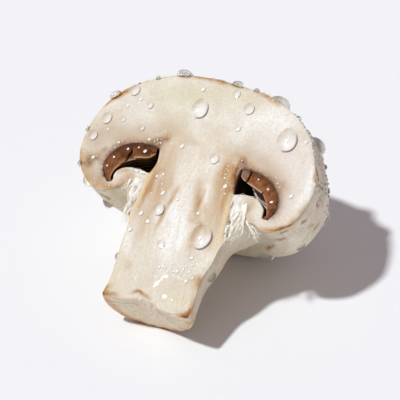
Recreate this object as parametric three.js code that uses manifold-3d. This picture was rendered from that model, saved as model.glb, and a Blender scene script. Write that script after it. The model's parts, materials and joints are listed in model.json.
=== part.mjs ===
// A button mushroom cut lengthwise beside its middle, lying on its rounded back with the cut face up.
//
// Units are millimetres, +Z is up and the part lies on Z = 0, centred over the origin.
//
// The mushroom is first drawn standing: X runs across the cut face, Y along the stem towards the crown
// with Y = 0 at the gills, and Z points out of the cut face, which is the plane Z = 0. Every surface is a
// ring swept round the stem's axis. The mushroom isn't quite round, so each ring swings from the right
// hand outline to the left hand one. The last step lays the drawing on its back.
import * as THREE from "three";
import { ParametricGeometry } from "three/addons/geometries/ParametricGeometry.js";
import { mergeVertices } from "three/addons/utils/BufferGeometryUtils.js";
import Module from "manifold-3d";

const wasm = await Module();
wasm.setup();

const { clamp, degToRad, lerp, smoothstep } = THREE.MathUtils;

// Driving dimensions.
const CROWN_HEIGHT = 17.7; // top of the cap above the gills
const STEM_LENGTH = 31.9; // from the gills down to the cut end of the stem
const CAP_RIGHT = 25.15; // widest half width of the cap on the cut face
const CAP_LEFT = 26.1;
const AXIS_DEPTH_CAP = 4.5; // how far behind the cut face the axis runs in the cap
const AXIS_DEPTH_END = 2.4; // and at the end of the stem
const CAP_BACK_STRETCH = 1.05; // the cap is a little deeper than it is wide
const RIGHT_FLANK_SWELL = 0.12; // the cap is fuller behind its right edge
const STEM_BACK_DRIFT = 0.18; // the back of the stem's end leans left by this share of its depth
const END_SLANT = 0.08; // the stem's end is cut on a slant, lower at the back
const END_ROUND = 0.7; // worn edge round the stem's end
const CLEARANCE = 0.4; // between the gills and the flesh round them
const GILL_BED = 0.8; // the thin layer that the gills grow from
const GILL_THICKNESS = 0.66;
const GILL_FOOT = 0.06; // how much wider each side of a gill is where it meets its bed
const LONG_GILLS = 44; // round the whole mushroom
const SHORT_GILL_START = 15.6; // short gills, one between each two long ones, begin at this radius
const SHORT_GILL_FULL = 17.2; // and reach full height here
const NECK_TOP = -10; // between these heights the cap's shape gives way to the stem's
const NECK_BOTTOM = -16;
const LEAN_BACK = 33.55; // degrees from standing to lying
const ROLL = 6.0; // degrees about the stem, right side up
const REST_HEIGHT = 28.38; // from the drawing's origin down to the surface it lies on

// How finely the rings are cut, how far apart two corners are when they count as one, and a size larger
// than the whole part for the blocks that trim it.
const STEPS_ROUND = 64;
const SKIN_STEPS_ALONG = 36;
const SAME_CORNER = 1e-4;
const TRIM_SIZE = 200;
const COLUMNS_PER_GILL = 4;

// The skin, from the crown over the cap's shoulder and rolled-in margin, past the torn veil and down the
// stem. Each pair is [half width on the cut face, height], and both sides list the same features.
const SKIN_RIGHT = [
  [6.0, 16.8],
  [10.2, 16.05],
  [14.5, 14.15],
  [18.0, 11.9],
  [20.9, 8.9],
  [23.0, 5.2],
  [24.5, 1.2],
  [CAP_RIGHT, -2.8],
  [24.4, -6.4],
  [22.7, -10.1],
  [20.0, -12.0],
  [17.2, -12.6],
  [14.2, -11.5],
  [12.5, -13.3],
  [10.5, -15.3],
  [9.4, -17.6],
  [8.7, -21.0],
  [7.4, -24.5],
  [7.2, -28.0],
  [7.3, -STEM_LENGTH - 0.3],
];
const SKIN_LEFT = [
  [6.0, 17.85],
  [10.4, 17.35],
  [15.2, 15.75],
  [19.8, 13.0],
  [23.05, 9.7],
  [25.1, 5.6],
  [26.0, 1.6],
  [CAP_LEFT, -2.0],
  [25.1, -5.3],
  [22.95, -8.1],
  [20.4, -9.9],
  [17.5, -9.9],
  [14.9, -8.5],
  [13.3, -8.9],
  [12.5, -11.7],
  [11.1, -15.3],
  [11.1, -20.0],
  [11.1, -24.0],
  [11.3, -28.0],
  [12.0, -STEM_LENGTH + 0.4],
];

// The gills' attached edge and free edge, from the stem outwards and down into the margin.
const GILL_ROOT_RIGHT = [
  [9.5, -1.2],
  [11.2, -1.1],
  [13.8, -1.75],
  [15.95, -2.9],
  [17.6, -4.8],
  [18.3, -7.0],
  [17.9, -9.0],
];
const GILL_FREE_RIGHT = [
  [9.6, -2.2],
  [10.8, -3.1],
  [13.0, -4.1],
  [14.8, -5.0],
  [15.8, -6.2],
  [16.55, -7.7],
  [16.95, -9.3],
];
const GILL_ROOT_LEFT = [
  [9.4, 0.55],
  [11.2, 0.95],
  [14.3, 0.65],
  [16.9, -0.45],
  [18.75, -2.5],
  [19.4, -4.7],
  [18.7, -6.7],
];
const GILL_FREE_LEFT = [
  [9.4, -0.4],
  [11.0, -1.4],
  [13.7, -2.0],
  [15.4, -3.0],
  [16.75, -4.35],
  [17.45, -5.7],
  [17.65, -6.9],
];

// The floor of the gill chamber, from the rolled margin back to the stem and up its side.
const CHAMBER_FLOOR_RIGHT = [
  [17.2, -10.1],
  [16.3, -10.0],
  [16.2, -9.4],
  [16.2, -8.7],
  [16.0, -8.0],
  [15.4, -7.3],
  [14.5, -6.55],
  [13.4, -6.05],
  [11.9, -5.85],
  [10.2, -5.95],
  [9.05, -6.1],
  [8.8, -5.2],
  [8.7, -3.9],
  [8.75, -2.6],
  [9.05, -0.9],
];
const CHAMBER_FLOOR_LEFT = [
  [18.0, -7.8],
  [17.2, -7.7],
  [16.95, -7.1],
  [17.05, -6.35],
  [16.75, -5.5],
  [16.1, -4.85],
  [15.0, -4.3],
  [13.4, -4.05],
  [11.9, -4.0],
  [11.0, -4.3],
  [9.9, -4.5],
  [9.3, -4.1],
  [8.85, -2.8],
  [8.6, -1.6],
  [8.85, 0.7],
];

// A point of the mushroom at an angle round its axis: 0 is the right outline, 180 degrees the left one and
// 90 degrees the middle of the back.
function swing(right, left, angle, target) {
  const onAxis = right.x === 0;
  const share = onAxis ? 0.5 : (1 - Math.cos(angle)) / 2;
  const meanHeight = (right.y + left.y) / 2;
  const down = clamp(-meanHeight / STEM_LENGTH, 0, 1);
  const depth = lerp(AXIS_DEPTH_CAP, AXIS_DEPTH_END, down);
  const cap = smoothstep(meanHeight, NECK_BOTTOM, NECK_TOP);
  const end = smoothstep(-meanHeight, -NECK_BOTTOM, STEM_LENGTH);
  const back = Math.max(Math.sin(angle), 0);
  const swell = 1 + RIGHT_FLANK_SWELL * cap * back * Math.max(Math.cos(angle), 0) ** 2;
  const radius = swell * lerp(reach(right.x, depth), reach(left.x, depth), share);
  const stretch = back > 0 ? lerp(1, CAP_BACK_STRETCH, cap) : 1;
  const behindFace = depth + stretch * radius * Math.sin(angle);
  const drift = STEM_BACK_DRIFT * end * radius * back;
  const slant = END_SLANT * end * behindFace;
  target.set(radius * Math.cos(angle) - drift, lerp(right.y, left.y, share) - slant, -behindFace);
}

// The radius of a ring that crosses the cut face at this half width; a half width of 0 is the axis itself.
function reach(halfWidth, depth) {
  return halfWidth > 0 ? Math.hypot(halfWidth, depth) : 0;
}

// A Manifold solid from a closed three.js geometry: shared corners are merged and slivers dropped.
function solid(geometry) {
  const bare = geometry.clone();
  bare.deleteAttribute("normal");
  bare.deleteAttribute("uv");
  const merged = mergeVertices(bare, SAME_CORNER);
  const corners = merged.index.array;
  const faces = [];
  for (let i = 0; i < corners.length; i += 3) {
    const [a, b, c] = corners.slice(i, i + 3);
    if (a !== b && b !== c && c !== a) {
      faces.push(a, b, c);
    }
  }
  const mesh = new wasm.Mesh({
    numProp: 3,
    vertProperties: Float32Array.from(merged.attributes.position.array),
    triVerts: Uint32Array.from(faces),
  });
  return new wasm.Manifold(mesh);
}

// A surface swept round the axis from two matching lists of points.
function sweep(right, left) {
  const last = right.length - 1;
  const pointAt = (around, along, target) => {
    const index = Math.round(along * last);
    swing(right[index], left[index], 2 * Math.PI * (1 - around), target);
  };
  return solid(new ParametricGeometry(pointAt, STEPS_ROUND, last));
}

function vectors(pairs) {
  return pairs.map(([x, y]) => new THREE.Vector2(x, y));
}

// The skin's outline on one side: a smooth curve from the crown to the stem's end, then the worn edge and
// the flat end.
function skinOutline(pairs) {
  const crown = new THREE.Vector2(0, CROWN_HEIGHT);
  const skin = new THREE.SplineCurve([crown, ...vectors(pairs)]).getPoints(SKIN_STEPS_ALONG);
  const end = skin.at(-1);
  const endHeight = end.y - END_ROUND;
  return [
    ...skin,
    new THREE.Vector2(end.x - END_ROUND, endHeight),
    new THREE.Vector2(end.x / 2, endHeight),
    new THREE.Vector2(0, endHeight),
  ];
}

// The chamber's outline on one side: the gills' attached edge moved out by the clearance, then the floor.
function chamberOutline(rootPairs, floorPairs) {
  const root = vectors(rootPairs);
  const roof = root.map((point, i) => {
    const before = root[Math.max(i - 1, 0)];
    const after = root[Math.min(i + 1, root.length - 1)];
    const along = after.clone().sub(before).normalize();
    return new THREE.Vector2(-along.y, along.x).multiplyScalar(CLEARANCE).add(point);
  });
  return [...roof, ...vectors(floorPairs), roof[0].clone()];
}

// The gills are one ring: a thin bed under the chamber's roof with blades that hang from it. Every second
// gill is short and starts half way out. A gill takes four columns of points: the bed before it, its two
// faces at the free edge, and the bed after it.
function gillRing() {
  const gills = 2 * LONG_GILLS;
  const columns = COLUMNS_PER_GILL * gills;
  const rootRight = vectors(GILL_ROOT_RIGHT);
  const rootLeft = vectors(GILL_ROOT_LEFT);
  const freeRight = vectors(GILL_FREE_RIGHT);
  const freeLeft = vectors(GILL_FREE_LEFT);
  const stations = rootRight.length;
  const loop = 2 * stations;
  const pointAt = (around, along, target) => {
    const column = Math.round((1 - around) * columns) % columns;
    const step = Math.round(along * loop) % loop;
    const isRoot = step < stations;
    const at = isRoot ? step : loop - 1 - step;
    const gill = Math.floor(column / COLUMNS_PER_GILL);
    const place = column % COLUMNS_PER_GILL;
    const isBlade = place === 1 || place === 2;
    const side = place < 2 ? -1 : 1;
    const radius = reach((rootRight[at].x + rootLeft[at].x) / 2, AXIS_DEPTH_CAP);
    const fullness = gill % 2 === 0 ? 1 : smoothstep(radius, SHORT_GILL_START, SHORT_GILL_FULL);
    const halfWidth = GILL_THICKNESS / 2 + (isBlade ? 0 : GILL_FOOT);
    const angle = (2 * Math.PI * (gill + 0.5)) / gills + (side * halfWidth) / radius;
    const share = isBlade ? fullness : 0;
    const right = isRoot ? rootRight[at] : hang(rootRight[at], freeRight[at], share);
    const left = isRoot ? rootLeft[at] : hang(rootLeft[at], freeLeft[at], share);
    swing(right, left, angle, target);
  };
  return solid(new ParametricGeometry(pointAt, columns, loop));
}

// A point below the attached edge: a share of 0 is the bed's face and 1 the free edge.
function hang(root, free, share) {
  const bed = GILL_BED / root.distanceTo(free);
  return root.clone().lerp(free, lerp(Math.min(bed, 1), 1, share));
}

// A block much larger than the part, with its lower or upper face at a height on Z.
function trimBlock(faceHeight, isAbove) {
  const box = new THREE.BoxGeometry(TRIM_SIZE, TRIM_SIZE, TRIM_SIZE);
  const middle = faceHeight + (isAbove ? TRIM_SIZE / 2 : -TRIM_SIZE / 2);
  return solid(box.translate(0, 0, middle));
}

function toGeometry(shape) {
  const mesh = shape.getMesh();
  const geometry = new THREE.BufferGeometry();
  geometry.setAttribute("position", new THREE.BufferAttribute(Float32Array.from(mesh.vertProperties), 3));
  geometry.setIndex(Array.from(mesh.triVerts));
  return geometry;
}

// The knife takes off everything in front of the cut face. The rest is laid on its back, where the surface
// flattens what touches it.
const knife = trimBlock(0, true);
const surface = trimBlock(-REST_HEIGHT, false);
const layBack = new THREE.Matrix4()
  .makeRotationX(degToRad(LEAN_BACK))
  .multiply(new THREE.Matrix4().makeRotationY(degToRad(-ROLL)));

function cutAndLaidBack(shape) {
  const half = toGeometry(shape.subtract(knife));
  return solid(half.applyMatrix4(layBack)).subtract(surface);
}

function toMesh(shape, name, material) {
  const faceted = toGeometry(shape).toNonIndexed();
  faceted.computeVertexNormals();
  const part = new THREE.Mesh(faceted, material);
  part.name = name;
  return part;
}

const creamFlesh = new THREE.MeshStandardMaterial({ color: 0xe9dfcd, roughness: 0.6, metalness: 0 });
const brownGill = new THREE.MeshStandardMaterial({ color: 0x7a4a2c, roughness: 0.7, metalness: 0 });

// The flesh: cap, margin, veil and stem in one body, with the gill chamber hollowed out of it.
const skin = sweep(skinOutline(SKIN_RIGHT), skinOutline(SKIN_LEFT));
const chamber = sweep(
  chamberOutline(GILL_ROOT_RIGHT, CHAMBER_FLOOR_RIGHT),
  chamberOutline(GILL_ROOT_LEFT, CHAMBER_FLOOR_LEFT),
);
const flesh = cutAndLaidBack(skin.subtract(chamber));
const gills = cutAndLaidBack(gillRing());

const mushroom = new THREE.Group();
mushroom.add(toMesh(flesh, "flesh", creamFlesh), toMesh(gills, "gills", brownGill));

// The origin lies under the middle of the whole part.
const middle = new THREE.Box3().setFromObject(mushroom).getCenter(new THREE.Vector3());
mushroom.position.set(-middle.x, -middle.y, REST_HEIGHT);

export default mushroom;
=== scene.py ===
# %% [markdown]
# # A button mushroom, cut along its stem and lying on its back
#
# The mushroom is one pale body with a brown ring of gills inside it. The imported CAD model holds both as
# faceted solids. This lesson grows a finer skin for each of them, in the same place and of the same size, and
# then adds the torn veil and the water that lies on it.
#
# We start by loading the CAD model, which stays fixed.

# %% Load the CAD frame
import json
from functools import reduce
from itertools import product

import bmesh
import bpy
import numpy as np
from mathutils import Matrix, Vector
from mathutils.geometry import delaunay_2d_cdt

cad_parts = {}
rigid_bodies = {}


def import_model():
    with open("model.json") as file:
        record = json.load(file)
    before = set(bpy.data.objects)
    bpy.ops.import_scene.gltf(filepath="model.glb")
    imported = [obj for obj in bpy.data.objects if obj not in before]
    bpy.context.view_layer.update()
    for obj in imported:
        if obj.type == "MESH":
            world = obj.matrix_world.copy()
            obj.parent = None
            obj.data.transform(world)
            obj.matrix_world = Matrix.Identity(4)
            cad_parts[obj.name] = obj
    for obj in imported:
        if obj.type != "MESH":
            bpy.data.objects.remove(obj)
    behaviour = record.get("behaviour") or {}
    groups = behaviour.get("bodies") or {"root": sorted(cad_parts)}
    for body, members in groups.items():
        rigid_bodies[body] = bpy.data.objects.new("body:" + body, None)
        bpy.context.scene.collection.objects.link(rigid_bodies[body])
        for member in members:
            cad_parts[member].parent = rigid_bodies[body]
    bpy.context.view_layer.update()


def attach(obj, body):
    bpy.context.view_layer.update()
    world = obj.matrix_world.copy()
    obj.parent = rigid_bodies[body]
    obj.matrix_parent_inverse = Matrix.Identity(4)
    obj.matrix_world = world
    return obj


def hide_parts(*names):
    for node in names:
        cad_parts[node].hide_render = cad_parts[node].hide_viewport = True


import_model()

MM = 0.001  # one millimetre in Blender's metres

# %% [markdown]
# ## The drawing
#
# It is easiest to think of the mushroom as standing up in front of us with its cut face towards us: `u` runs
# across the face, `v` up the stem to the crown, `w` out of the face. The cut face is the plane `w = 0`, the
# gills are at `v = 0`, and everything is in millimetres. The last step lays this drawing on its back.
#
# These are the same driving dimensions as in the CAD source, because the two have to agree.

# %% Driving dimensions, in millimetres
CROWN_HEIGHT = 17.7
STEM_LENGTH = 31.9
AXIS_DEPTH_CAP = 4.5  # the stem's axis runs this far behind the cut face in the cap
AXIS_DEPTH_END = 2.4  # and this far at the end of the stem
CAP_BACK_STRETCH = 1.05
RIGHT_FLANK_SWELL = 0.12
STEM_BACK_DRIFT = 0.18
END_SLANT = 0.08
END_ROUND = 0.7
NECK_TOP, NECK_BOTTOM = -10.0, -16.0
CLEARANCE = 0.4  # between the gills' attached edge and the chamber's roof
LEAN_BACK, ROLL = np.radians(33.55), np.radians(6.0)
ORIGIN = np.array([-0.194, 1.753, 28.38])  # where the drawing's origin lies on the resting part

SKIN_RIGHT = [
    (0, CROWN_HEIGHT), (6.0, 16.8), (10.2, 16.05), (14.5, 14.15), (18.0, 11.9), (20.9, 8.9), (23.0, 5.2),
    (24.5, 1.2), (25.15, -2.8), (24.4, -6.4), (22.7, -10.1), (20.0, -12.0), (17.2, -12.6), (14.2, -11.5),
    (12.5, -13.3), (10.5, -15.3), (9.4, -17.6), (8.7, -21.0), (7.4, -24.5), (7.2, -28.0),
    (7.3, -STEM_LENGTH - 0.3),
]
SKIN_LEFT = [
    (0, CROWN_HEIGHT), (6.0, 17.85), (10.4, 17.35), (15.2, 15.75), (19.8, 13.0), (23.05, 9.7), (25.1, 5.6),
    (26.0, 1.6), (26.1, -2.0), (25.1, -5.3), (22.95, -8.1), (20.4, -9.9), (17.5, -9.9), (14.9, -8.5),
    (13.3, -8.9), (12.5, -11.7), (11.1, -15.3), (11.1, -20.0), (11.1, -24.0), (11.3, -28.0),
    (12.0, -STEM_LENGTH + 0.4),
]
GILL_ROOT_RIGHT = [(9.5, -1.2), (11.2, -1.1), (13.8, -1.75), (15.95, -2.9), (17.6, -4.8), (18.3, -7.0),
                   (17.9, -9.0)]
GILL_FREE_RIGHT = [(9.6, -2.2), (10.8, -3.1), (13.0, -4.1), (14.8, -5.0), (15.8, -6.2), (16.55, -7.7),
                   (16.95, -9.3)]
GILL_ROOT_LEFT = [(9.4, 0.55), (11.2, 0.95), (14.3, 0.65), (16.9, -0.45), (18.75, -2.5), (19.4, -4.7),
                  (18.7, -6.7)]
GILL_FREE_LEFT = [(9.4, -0.4), (11.0, -1.4), (13.7, -2.0), (15.4, -3.0), (16.75, -4.35), (17.45, -5.7),
                  (17.65, -6.9)]
FLOOR_RIGHT = [(17.2, -10.1), (16.3, -10.0), (16.2, -9.4), (16.2, -8.7), (16.0, -8.0), (15.4, -7.3),
               (14.5, -6.55), (13.4, -6.05), (11.9, -5.85), (10.2, -5.95), (9.05, -6.1), (8.8, -5.2),
               (8.7, -3.9), (8.75, -2.6), (9.05, -0.9)]
FLOOR_LEFT = [(18.0, -7.8), (17.2, -7.7), (16.95, -7.1), (17.05, -6.35), (16.75, -5.5), (16.1, -4.85),
              (15.0, -4.3), (13.4, -4.05), (11.9, -4.0), (11.0, -4.3), (9.9, -4.5), (9.3, -4.1),
              (8.85, -2.8), (8.6, -1.6), (8.85, 0.7)]

# %% [markdown]
# ## A few words of mathematics
#
# `spline` draws a smooth curve through a list of points. `swing` is the rule that makes the whole mushroom: a
# point of the right outline travels round the stem's axis to the left outline. Noise gives the soft random
# unevenness of a grown thing, `laid` puts the drawing on its back, and the last helpers turn grids of points
# into meshes.

# %% Curves and easing
def ease(x, low, high):
    """0 below low, 1 above high, and a smooth S between them."""
    t = np.clip((x - low) / (high - low), 0.0, 1.0)
    return t * t * (3.0 - 2.0 * t)


def mix(a, b, share):
    """A straight blend from a to b."""
    return a + (b - a) * share


def hump(x, middle, width):
    """A bell curve of height 1."""
    return np.exp(-(((x - middle) / width) ** 2))


def spline(points, at):
    """A smooth curve through the points, read at the places in `at`, where whole numbers are the points.

    Each stretch is the cubic whose slope at a point is half the step between its two neighbours.
    """
    p = np.asarray(points, float)
    at = np.clip(np.asarray(at, float), 0, len(p) - 1)
    i = np.minimum(at.astype(int), len(p) - 2)
    t = (at - i)[:, None]
    slope_in = (p[i + 1] - p[np.maximum(i - 1, 0)]) / 2
    slope_out = (p[np.minimum(i + 2, len(p) - 1)] - p[i]) / 2
    step = p[i + 1] - p[i]
    return p[i] + t * slope_in + t**2 * (3 * step - 2 * slope_in - slope_out) \
        + t**3 * (slope_in + slope_out - 2 * step)


# %% The rule that makes the mushroom
def reach(half_width, depth):
    """The radius of a ring that crosses the cut face at this half width."""
    return np.where(half_width > 0, np.hypot(half_width, depth), 0.0)


def axis_depth(height):
    """How far behind the cut face the axis runs at a height: deeper in the cap than at the stem's end."""
    return mix(AXIS_DEPTH_CAP, AXIS_DEPTH_END, np.clip(-height / STEM_LENGTH, 0, 1))


def ring_radius(right, left, angle, depth):
    """The radius of a ring at an angle: it blends from the right outline's to the left one's."""
    cap = ease((right[..., 1] + left[..., 1]) / 2, NECK_BOTTOM, NECK_TOP)
    back = np.maximum(np.sin(angle), 0)
    swell = 1 + RIGHT_FLANK_SWELL * cap * back * np.maximum(np.cos(angle), 0) ** 2
    share = (1 - np.cos(angle)) / 2
    return swell * mix(reach(right[..., 0], depth), reach(left[..., 0], depth), share)


def face_angles(right, left, depth):
    """The two angles at which a ring crosses the cut face, on the right and on the left.

    The crossing is where radius times sine equals minus the depth, found by three rounds of correction.
    """
    on_right = np.zeros(len(right))
    on_left = np.full(len(right), np.pi)
    for _ in range(3):
        near = np.maximum(ring_radius(right, left, on_right, depth), 1e-9)
        far = np.maximum(ring_radius(right, left, on_left, depth), 1e-9)
        on_right = -np.arcsin(np.clip(depth / near, 0, 1))
        on_left = np.pi + np.arcsin(np.clip(depth / far, 0, 1))
    return on_right, on_left


def swing(right, left, angle, depth):
    """A point of the mushroom at an angle round its axis: 0 is the right outline, half a turn the left one.

    The point stands at the ring's radius from the axis, and its height blends between the outlines. The
    back of the cap is stretched a little, and the stem's end drifts left and is cut on a slant.
    """
    mean = (right[..., 1] + left[..., 1]) / 2
    cap = ease(mean, NECK_BOTTOM, NECK_TOP)
    end = ease(-mean, -NECK_BOTTOM, STEM_LENGTH)
    back = np.maximum(np.sin(angle), 0)
    radius = ring_radius(right, left, angle, depth)
    behind = depth + np.where(back > 0, mix(1, CAP_BACK_STRETCH, cap), 1) * radius * np.sin(angle)
    u = radius * np.cos(angle) - STEM_BACK_DRIFT * end * radius * back
    v = mix(right[..., 1], left[..., 1], (1 - np.cos(angle)) / 2) - END_SLANT * end * behind
    return np.stack([u, v, -behind], -1)


# %% Noise
AXIS_PRIMES = (73856093, 19349663, 83492791)  # large numbers, so that neighbouring corners differ widely
SEED_PRIME = 26544357
FIRST_STIR, SECOND_STIR = 1274126177, 668265263
LOW_31_BITS, LOW_16_BITS = 0x7FFFFFFF, 0xFFFF


def corner_height(at, seed):
    """A number from -1 to 1 that looks random and is always the same at the same corner of the lattice."""
    mixed = seed * SEED_PRIME
    for axis, prime in enumerate(AXIS_PRIMES):
        mixed = mixed ^ (at[..., axis] * prime)
    mixed = ((mixed ^ (mixed >> 13)) * FIRST_STIR) & LOW_31_BITS
    mixed = ((mixed ^ (mixed >> 15)) * SECOND_STIR) & LOW_31_BITS
    return ((mixed >> 7) & LOW_16_BITS) / (LOW_16_BITS / 2) - 1


def value_noise(points, seed):
    """Soft noise from -1 to 1: the heights of the eight lattice corners round a point, blended between."""
    cell = np.floor(points).astype(np.int64)
    part = points - cell
    part = part * part * (3 - 2 * part)
    total = np.zeros(points.shape[:-1])
    for corner in product((0, 1), repeat=3):
        share = np.prod(np.where(np.array(corner) == 1, part, 1 - part), -1)
        total += corner_height(cell + corner, seed) * share
    return total


def rough(points, size, seed, octaves=3):
    """Noise on several scales: each octave is half as large and half as strong as the one before."""
    total = sum(value_noise(points / np.asarray(size) * 2**k, seed + k) / 2**k for k in range(octaves))
    return total / (2 - 2 ** (1 - octaves))


# %% Laying the drawing down
def turn(axis, angle):
    """A right-handed turn about X (0) or Y (1)."""
    c, s = np.cos(angle), np.sin(angle)
    if axis == 0:
        return np.array([[1, 0, 0], [0, c, -s], [0, s, c]])
    return np.array([[c, 0, s], [0, 1, 0], [-s, 0, c]])


LAY = turn(0, LEAN_BACK) @ turn(1, -ROLL)


def laid(points):
    """The drawing's millimetres to the resting part's metres; what would sink into the table is flattened."""
    world = points @ LAY.T + ORIGIN
    world[..., 2] = np.maximum(world[..., 2], 0)
    return world * MM


# %% Meshes from grids
def grid_faces(index):
    """Two triangles for each cell of a grid of vertex numbers, without those that have shrunk to a line."""
    a, b, c, d = index[:-1, :-1], index[1:, :-1], index[1:, 1:], index[:-1, 1:]
    faces = np.concatenate([np.stack([a, b, c], -1).reshape(-1, 3), np.stack([a, c, d], -1).reshape(-1, 3)])
    whole = (faces[:, 0] != faces[:, 1]) & (faces[:, 1] != faces[:, 2]) & (faces[:, 2] != faces[:, 0])
    return faces[whole]


def new_piece(name, points, faces, values=None, face_materials=None):
    """A smooth mesh object from arrays; `values` are numbers or vectors kept for its materials."""
    mesh = bpy.data.meshes.new(name)
    mesh.from_pydata(points.reshape(-1, 3), [], faces)
    for key, data in (values or {}).items():
        kind = "FLOAT" if data.ndim == 1 else "FLOAT_VECTOR"
        attribute = mesh.attributes.new(key, kind, "POINT")
        attribute.data.foreach_set("value" if kind == "FLOAT" else "vector", data.astype(np.float32).ravel())
    if face_materials is not None:
        mesh.polygons.foreach_set("material_index", face_materials.astype(np.int32))
    mesh.shade_smooth()
    piece = bpy.data.objects.new(name, mesh)
    bpy.context.scene.collection.objects.link(piece)
    return piece


def volume_of(points, faces):
    """A sixth of the sum, over all triangles, of one corner times the cross product of the other two.

    It is positive when the faces point out.
    """
    a, b, c = (points[faces[:, k]] for k in range(3))
    return float(np.einsum("ij,ij->i", a, np.cross(b, c)).sum() / 6)


# %% [markdown]
# ## The skin
#
# On the real mushroom the cap's skin runs over the shoulder, rolls in at the margin, turns into the torn veil
# and goes on down the stem. It is one surface, so it is one grid: rows follow the outline from the crown to
# the stem's end, and columns go round the back from the right edge of the cut to the left edge.

# %% The skin's outlines
SKIN_ROWS = 200
SKIN_COLUMNS = 200
CROWN_EASE = 8.0  # the rings shrink to a point on the cut face within this half width
EDGE_CROWDING = 0.45  # how much closer the columns stand near the cut face

outline_at = np.linspace(0, len(SKIN_RIGHT) - 1, SKIN_ROWS)
skin_right, skin_left = spline(SKIN_RIGHT, outline_at), spline(SKIN_LEFT, outline_at)
full_depth = axis_depth((skin_right[:, 1] + skin_left[:, 1]) / 2)
skin_depth = full_depth * ease(skin_right[:, 0], 0, CROWN_EASE)
down_stem = skin_right[:, 1] < NECK_BOTTOM
skin_depth[down_stem] = full_depth[down_stem]

END_ROUNDING = np.sin(np.linspace(0, np.pi / 2, 5))[1:]
END_SHRINK = np.linspace(1, 0, 22)[1:]


def with_end(outline):
    """The outline with the stem's end added: a rounded edge, then straight in to the axis."""
    half_width, height = outline[-1]
    drawn_in = END_ROUND * (1 - np.sqrt(1 - END_ROUNDING**2))
    edge = np.stack([half_width - drawn_in, height - END_ROUND * END_ROUNDING], -1)
    flat = np.stack([edge[-1, 0] * END_SHRINK, np.full(len(END_SHRINK), edge[-1, 1])], -1)
    return np.concatenate([outline, edge, flat])


end_depth = AXIS_DEPTH_END * np.concatenate([np.ones(len(END_ROUNDING)), END_SHRINK])
skin_right, skin_left = with_end(skin_right), with_end(skin_left)
skin_depth = np.concatenate([skin_depth, end_depth])
print("outlines:", len(skin_right), "points each")

# %% The skin's grid
angle_right, angle_left = face_angles(skin_right, skin_left, skin_depth)
column = np.linspace(0, 1, SKIN_COLUMNS)
column = column - EDGE_CROWDING * np.sin(2 * np.pi * column) / (2 * np.pi)
skin_angle = mix(angle_right[:, None], angle_left[:, None], column[None, :])
skin = swing(skin_right[:, None], skin_left[:, None], skin_angle, skin_depth[:, None])
skin[:, 0, 2] = 0
skin[:, -1, 2] = 0
skin[0] = skin[0, 0]
skin[-1] = (skin[-1, 0] + skin[-1, -1]) / 2
print("skin grid:", skin.shape, "with a box of", np.ptp(skin.reshape(-1, 3), axis=0).round(2), "mm")

# %% [markdown]
# ## The gill chamber
#
# Under the cap a hollow runs round the stem, in which the gills hang. Its roof is the flesh that they grow
# from, and its floor is the rolled-in margin with the veil. The hollow is a bent tube, so its section is
# drawn once on each side of the stem, and the same rule swings one into the other.

# %% The chamber's grid
CHAMBER_STEPS = 132
CHAMBER_COLUMNS = 150


def chamber_outline(root, floor, count):
    """The roof, which is the gills' attached edge moved outwards by the clearance, then the floor, and back.

    Both sides have as many points on the roof as on the floor, so that a ring joins the same features.
    """
    root = np.array(root)
    along = np.concatenate([root[1:], root[-1:]]) - np.concatenate([root[:1], root[:-1]])
    along /= np.linalg.norm(along, axis=1, keepdims=True)
    roof = root + CLEARANCE * np.stack([-along[:, 1], along[:, 0]], -1)
    points = np.concatenate([roof, floor, roof[:1]])
    return spline(points, np.linspace(0, len(points) - 1, count + 1))


hollow_right = chamber_outline(GILL_ROOT_RIGHT, FLOOR_RIGHT, CHAMBER_STEPS)
hollow_left = chamber_outline(GILL_ROOT_LEFT, FLOOR_LEFT, CHAMBER_STEPS)
hollow_depth = axis_depth((hollow_right[:, 1] + hollow_left[:, 1]) / 2)
hollow_angles = face_angles(hollow_right, hollow_left, hollow_depth)
hollow_column = np.linspace(0, 1, CHAMBER_COLUMNS)
hollow = swing(
    hollow_right[:, None],
    hollow_left[:, None],
    mix(hollow_angles[0][:, None], hollow_angles[1][:, None], hollow_column[None, :]),
    hollow_depth[:, None],
)
hollow[:, 0, 2] = 0
hollow[:, -1, 2] = 0
hollow[-1] = hollow[0]
print("chamber grid:", hollow.shape)

# %% [markdown]
# ## The cut face
#
# The knife left one flat face. Its border is the edge of the skin, and the chamber opens in it on both sides
# of the stem. One big polygon would do for a plain face, but relief and stains need many small triangles of
# about one size. So a lattice of points is strewn inside that border and joined up by a Delaunay
# triangulation, which Blender has built in, with the border's edges held fixed.

# %% Distances, and what is inside a loop
def closed(loop):
    """The loop with its first point repeated at the end."""
    return np.concatenate([loop, loop[:1]])


def distance_to(points, path):
    """The shortest distance from each point to a run of straight segments."""
    start, step = path[:-1], np.diff(path, axis=0)
    length = np.maximum((step**2).sum(1), 1e-12)
    best = np.full(len(points), np.inf)
    for part in np.array_split(np.arange(len(points)), max(len(points) // 2000, 1)):
        away = points[part, None] - start[None]
        along = np.clip((away * step).sum(2) / length, 0, 1)[..., None]
        best[part] = np.sqrt((((away - along * step) ** 2).sum(2)).min(1))
    return best


def is_inside(points, loop):
    """Even-odd rule: from a point inside, a line to the right crosses the loop an odd number of times."""
    a, b = loop, np.roll(loop, -1, 0)
    inside = np.zeros(len(points), bool)
    for part in np.array_split(np.arange(len(points)), max(len(points) // 2000, 1)):
        x, y = points[part, 0][:, None], points[part, 1][:, None]
        spans = (a[:, 1] > y) != (b[:, 1] > y)
        rise = np.where(np.abs(b[:, 1] - a[:, 1]) < 1e-12, 1e-12, b[:, 1] - a[:, 1])
        crossing = a[:, 0] + (y - a[:, 1]) * (b[:, 0] - a[:, 0]) / rise
        inside[part] = (spans & (x < crossing)).sum(1) % 2 == 1
    return inside


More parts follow.
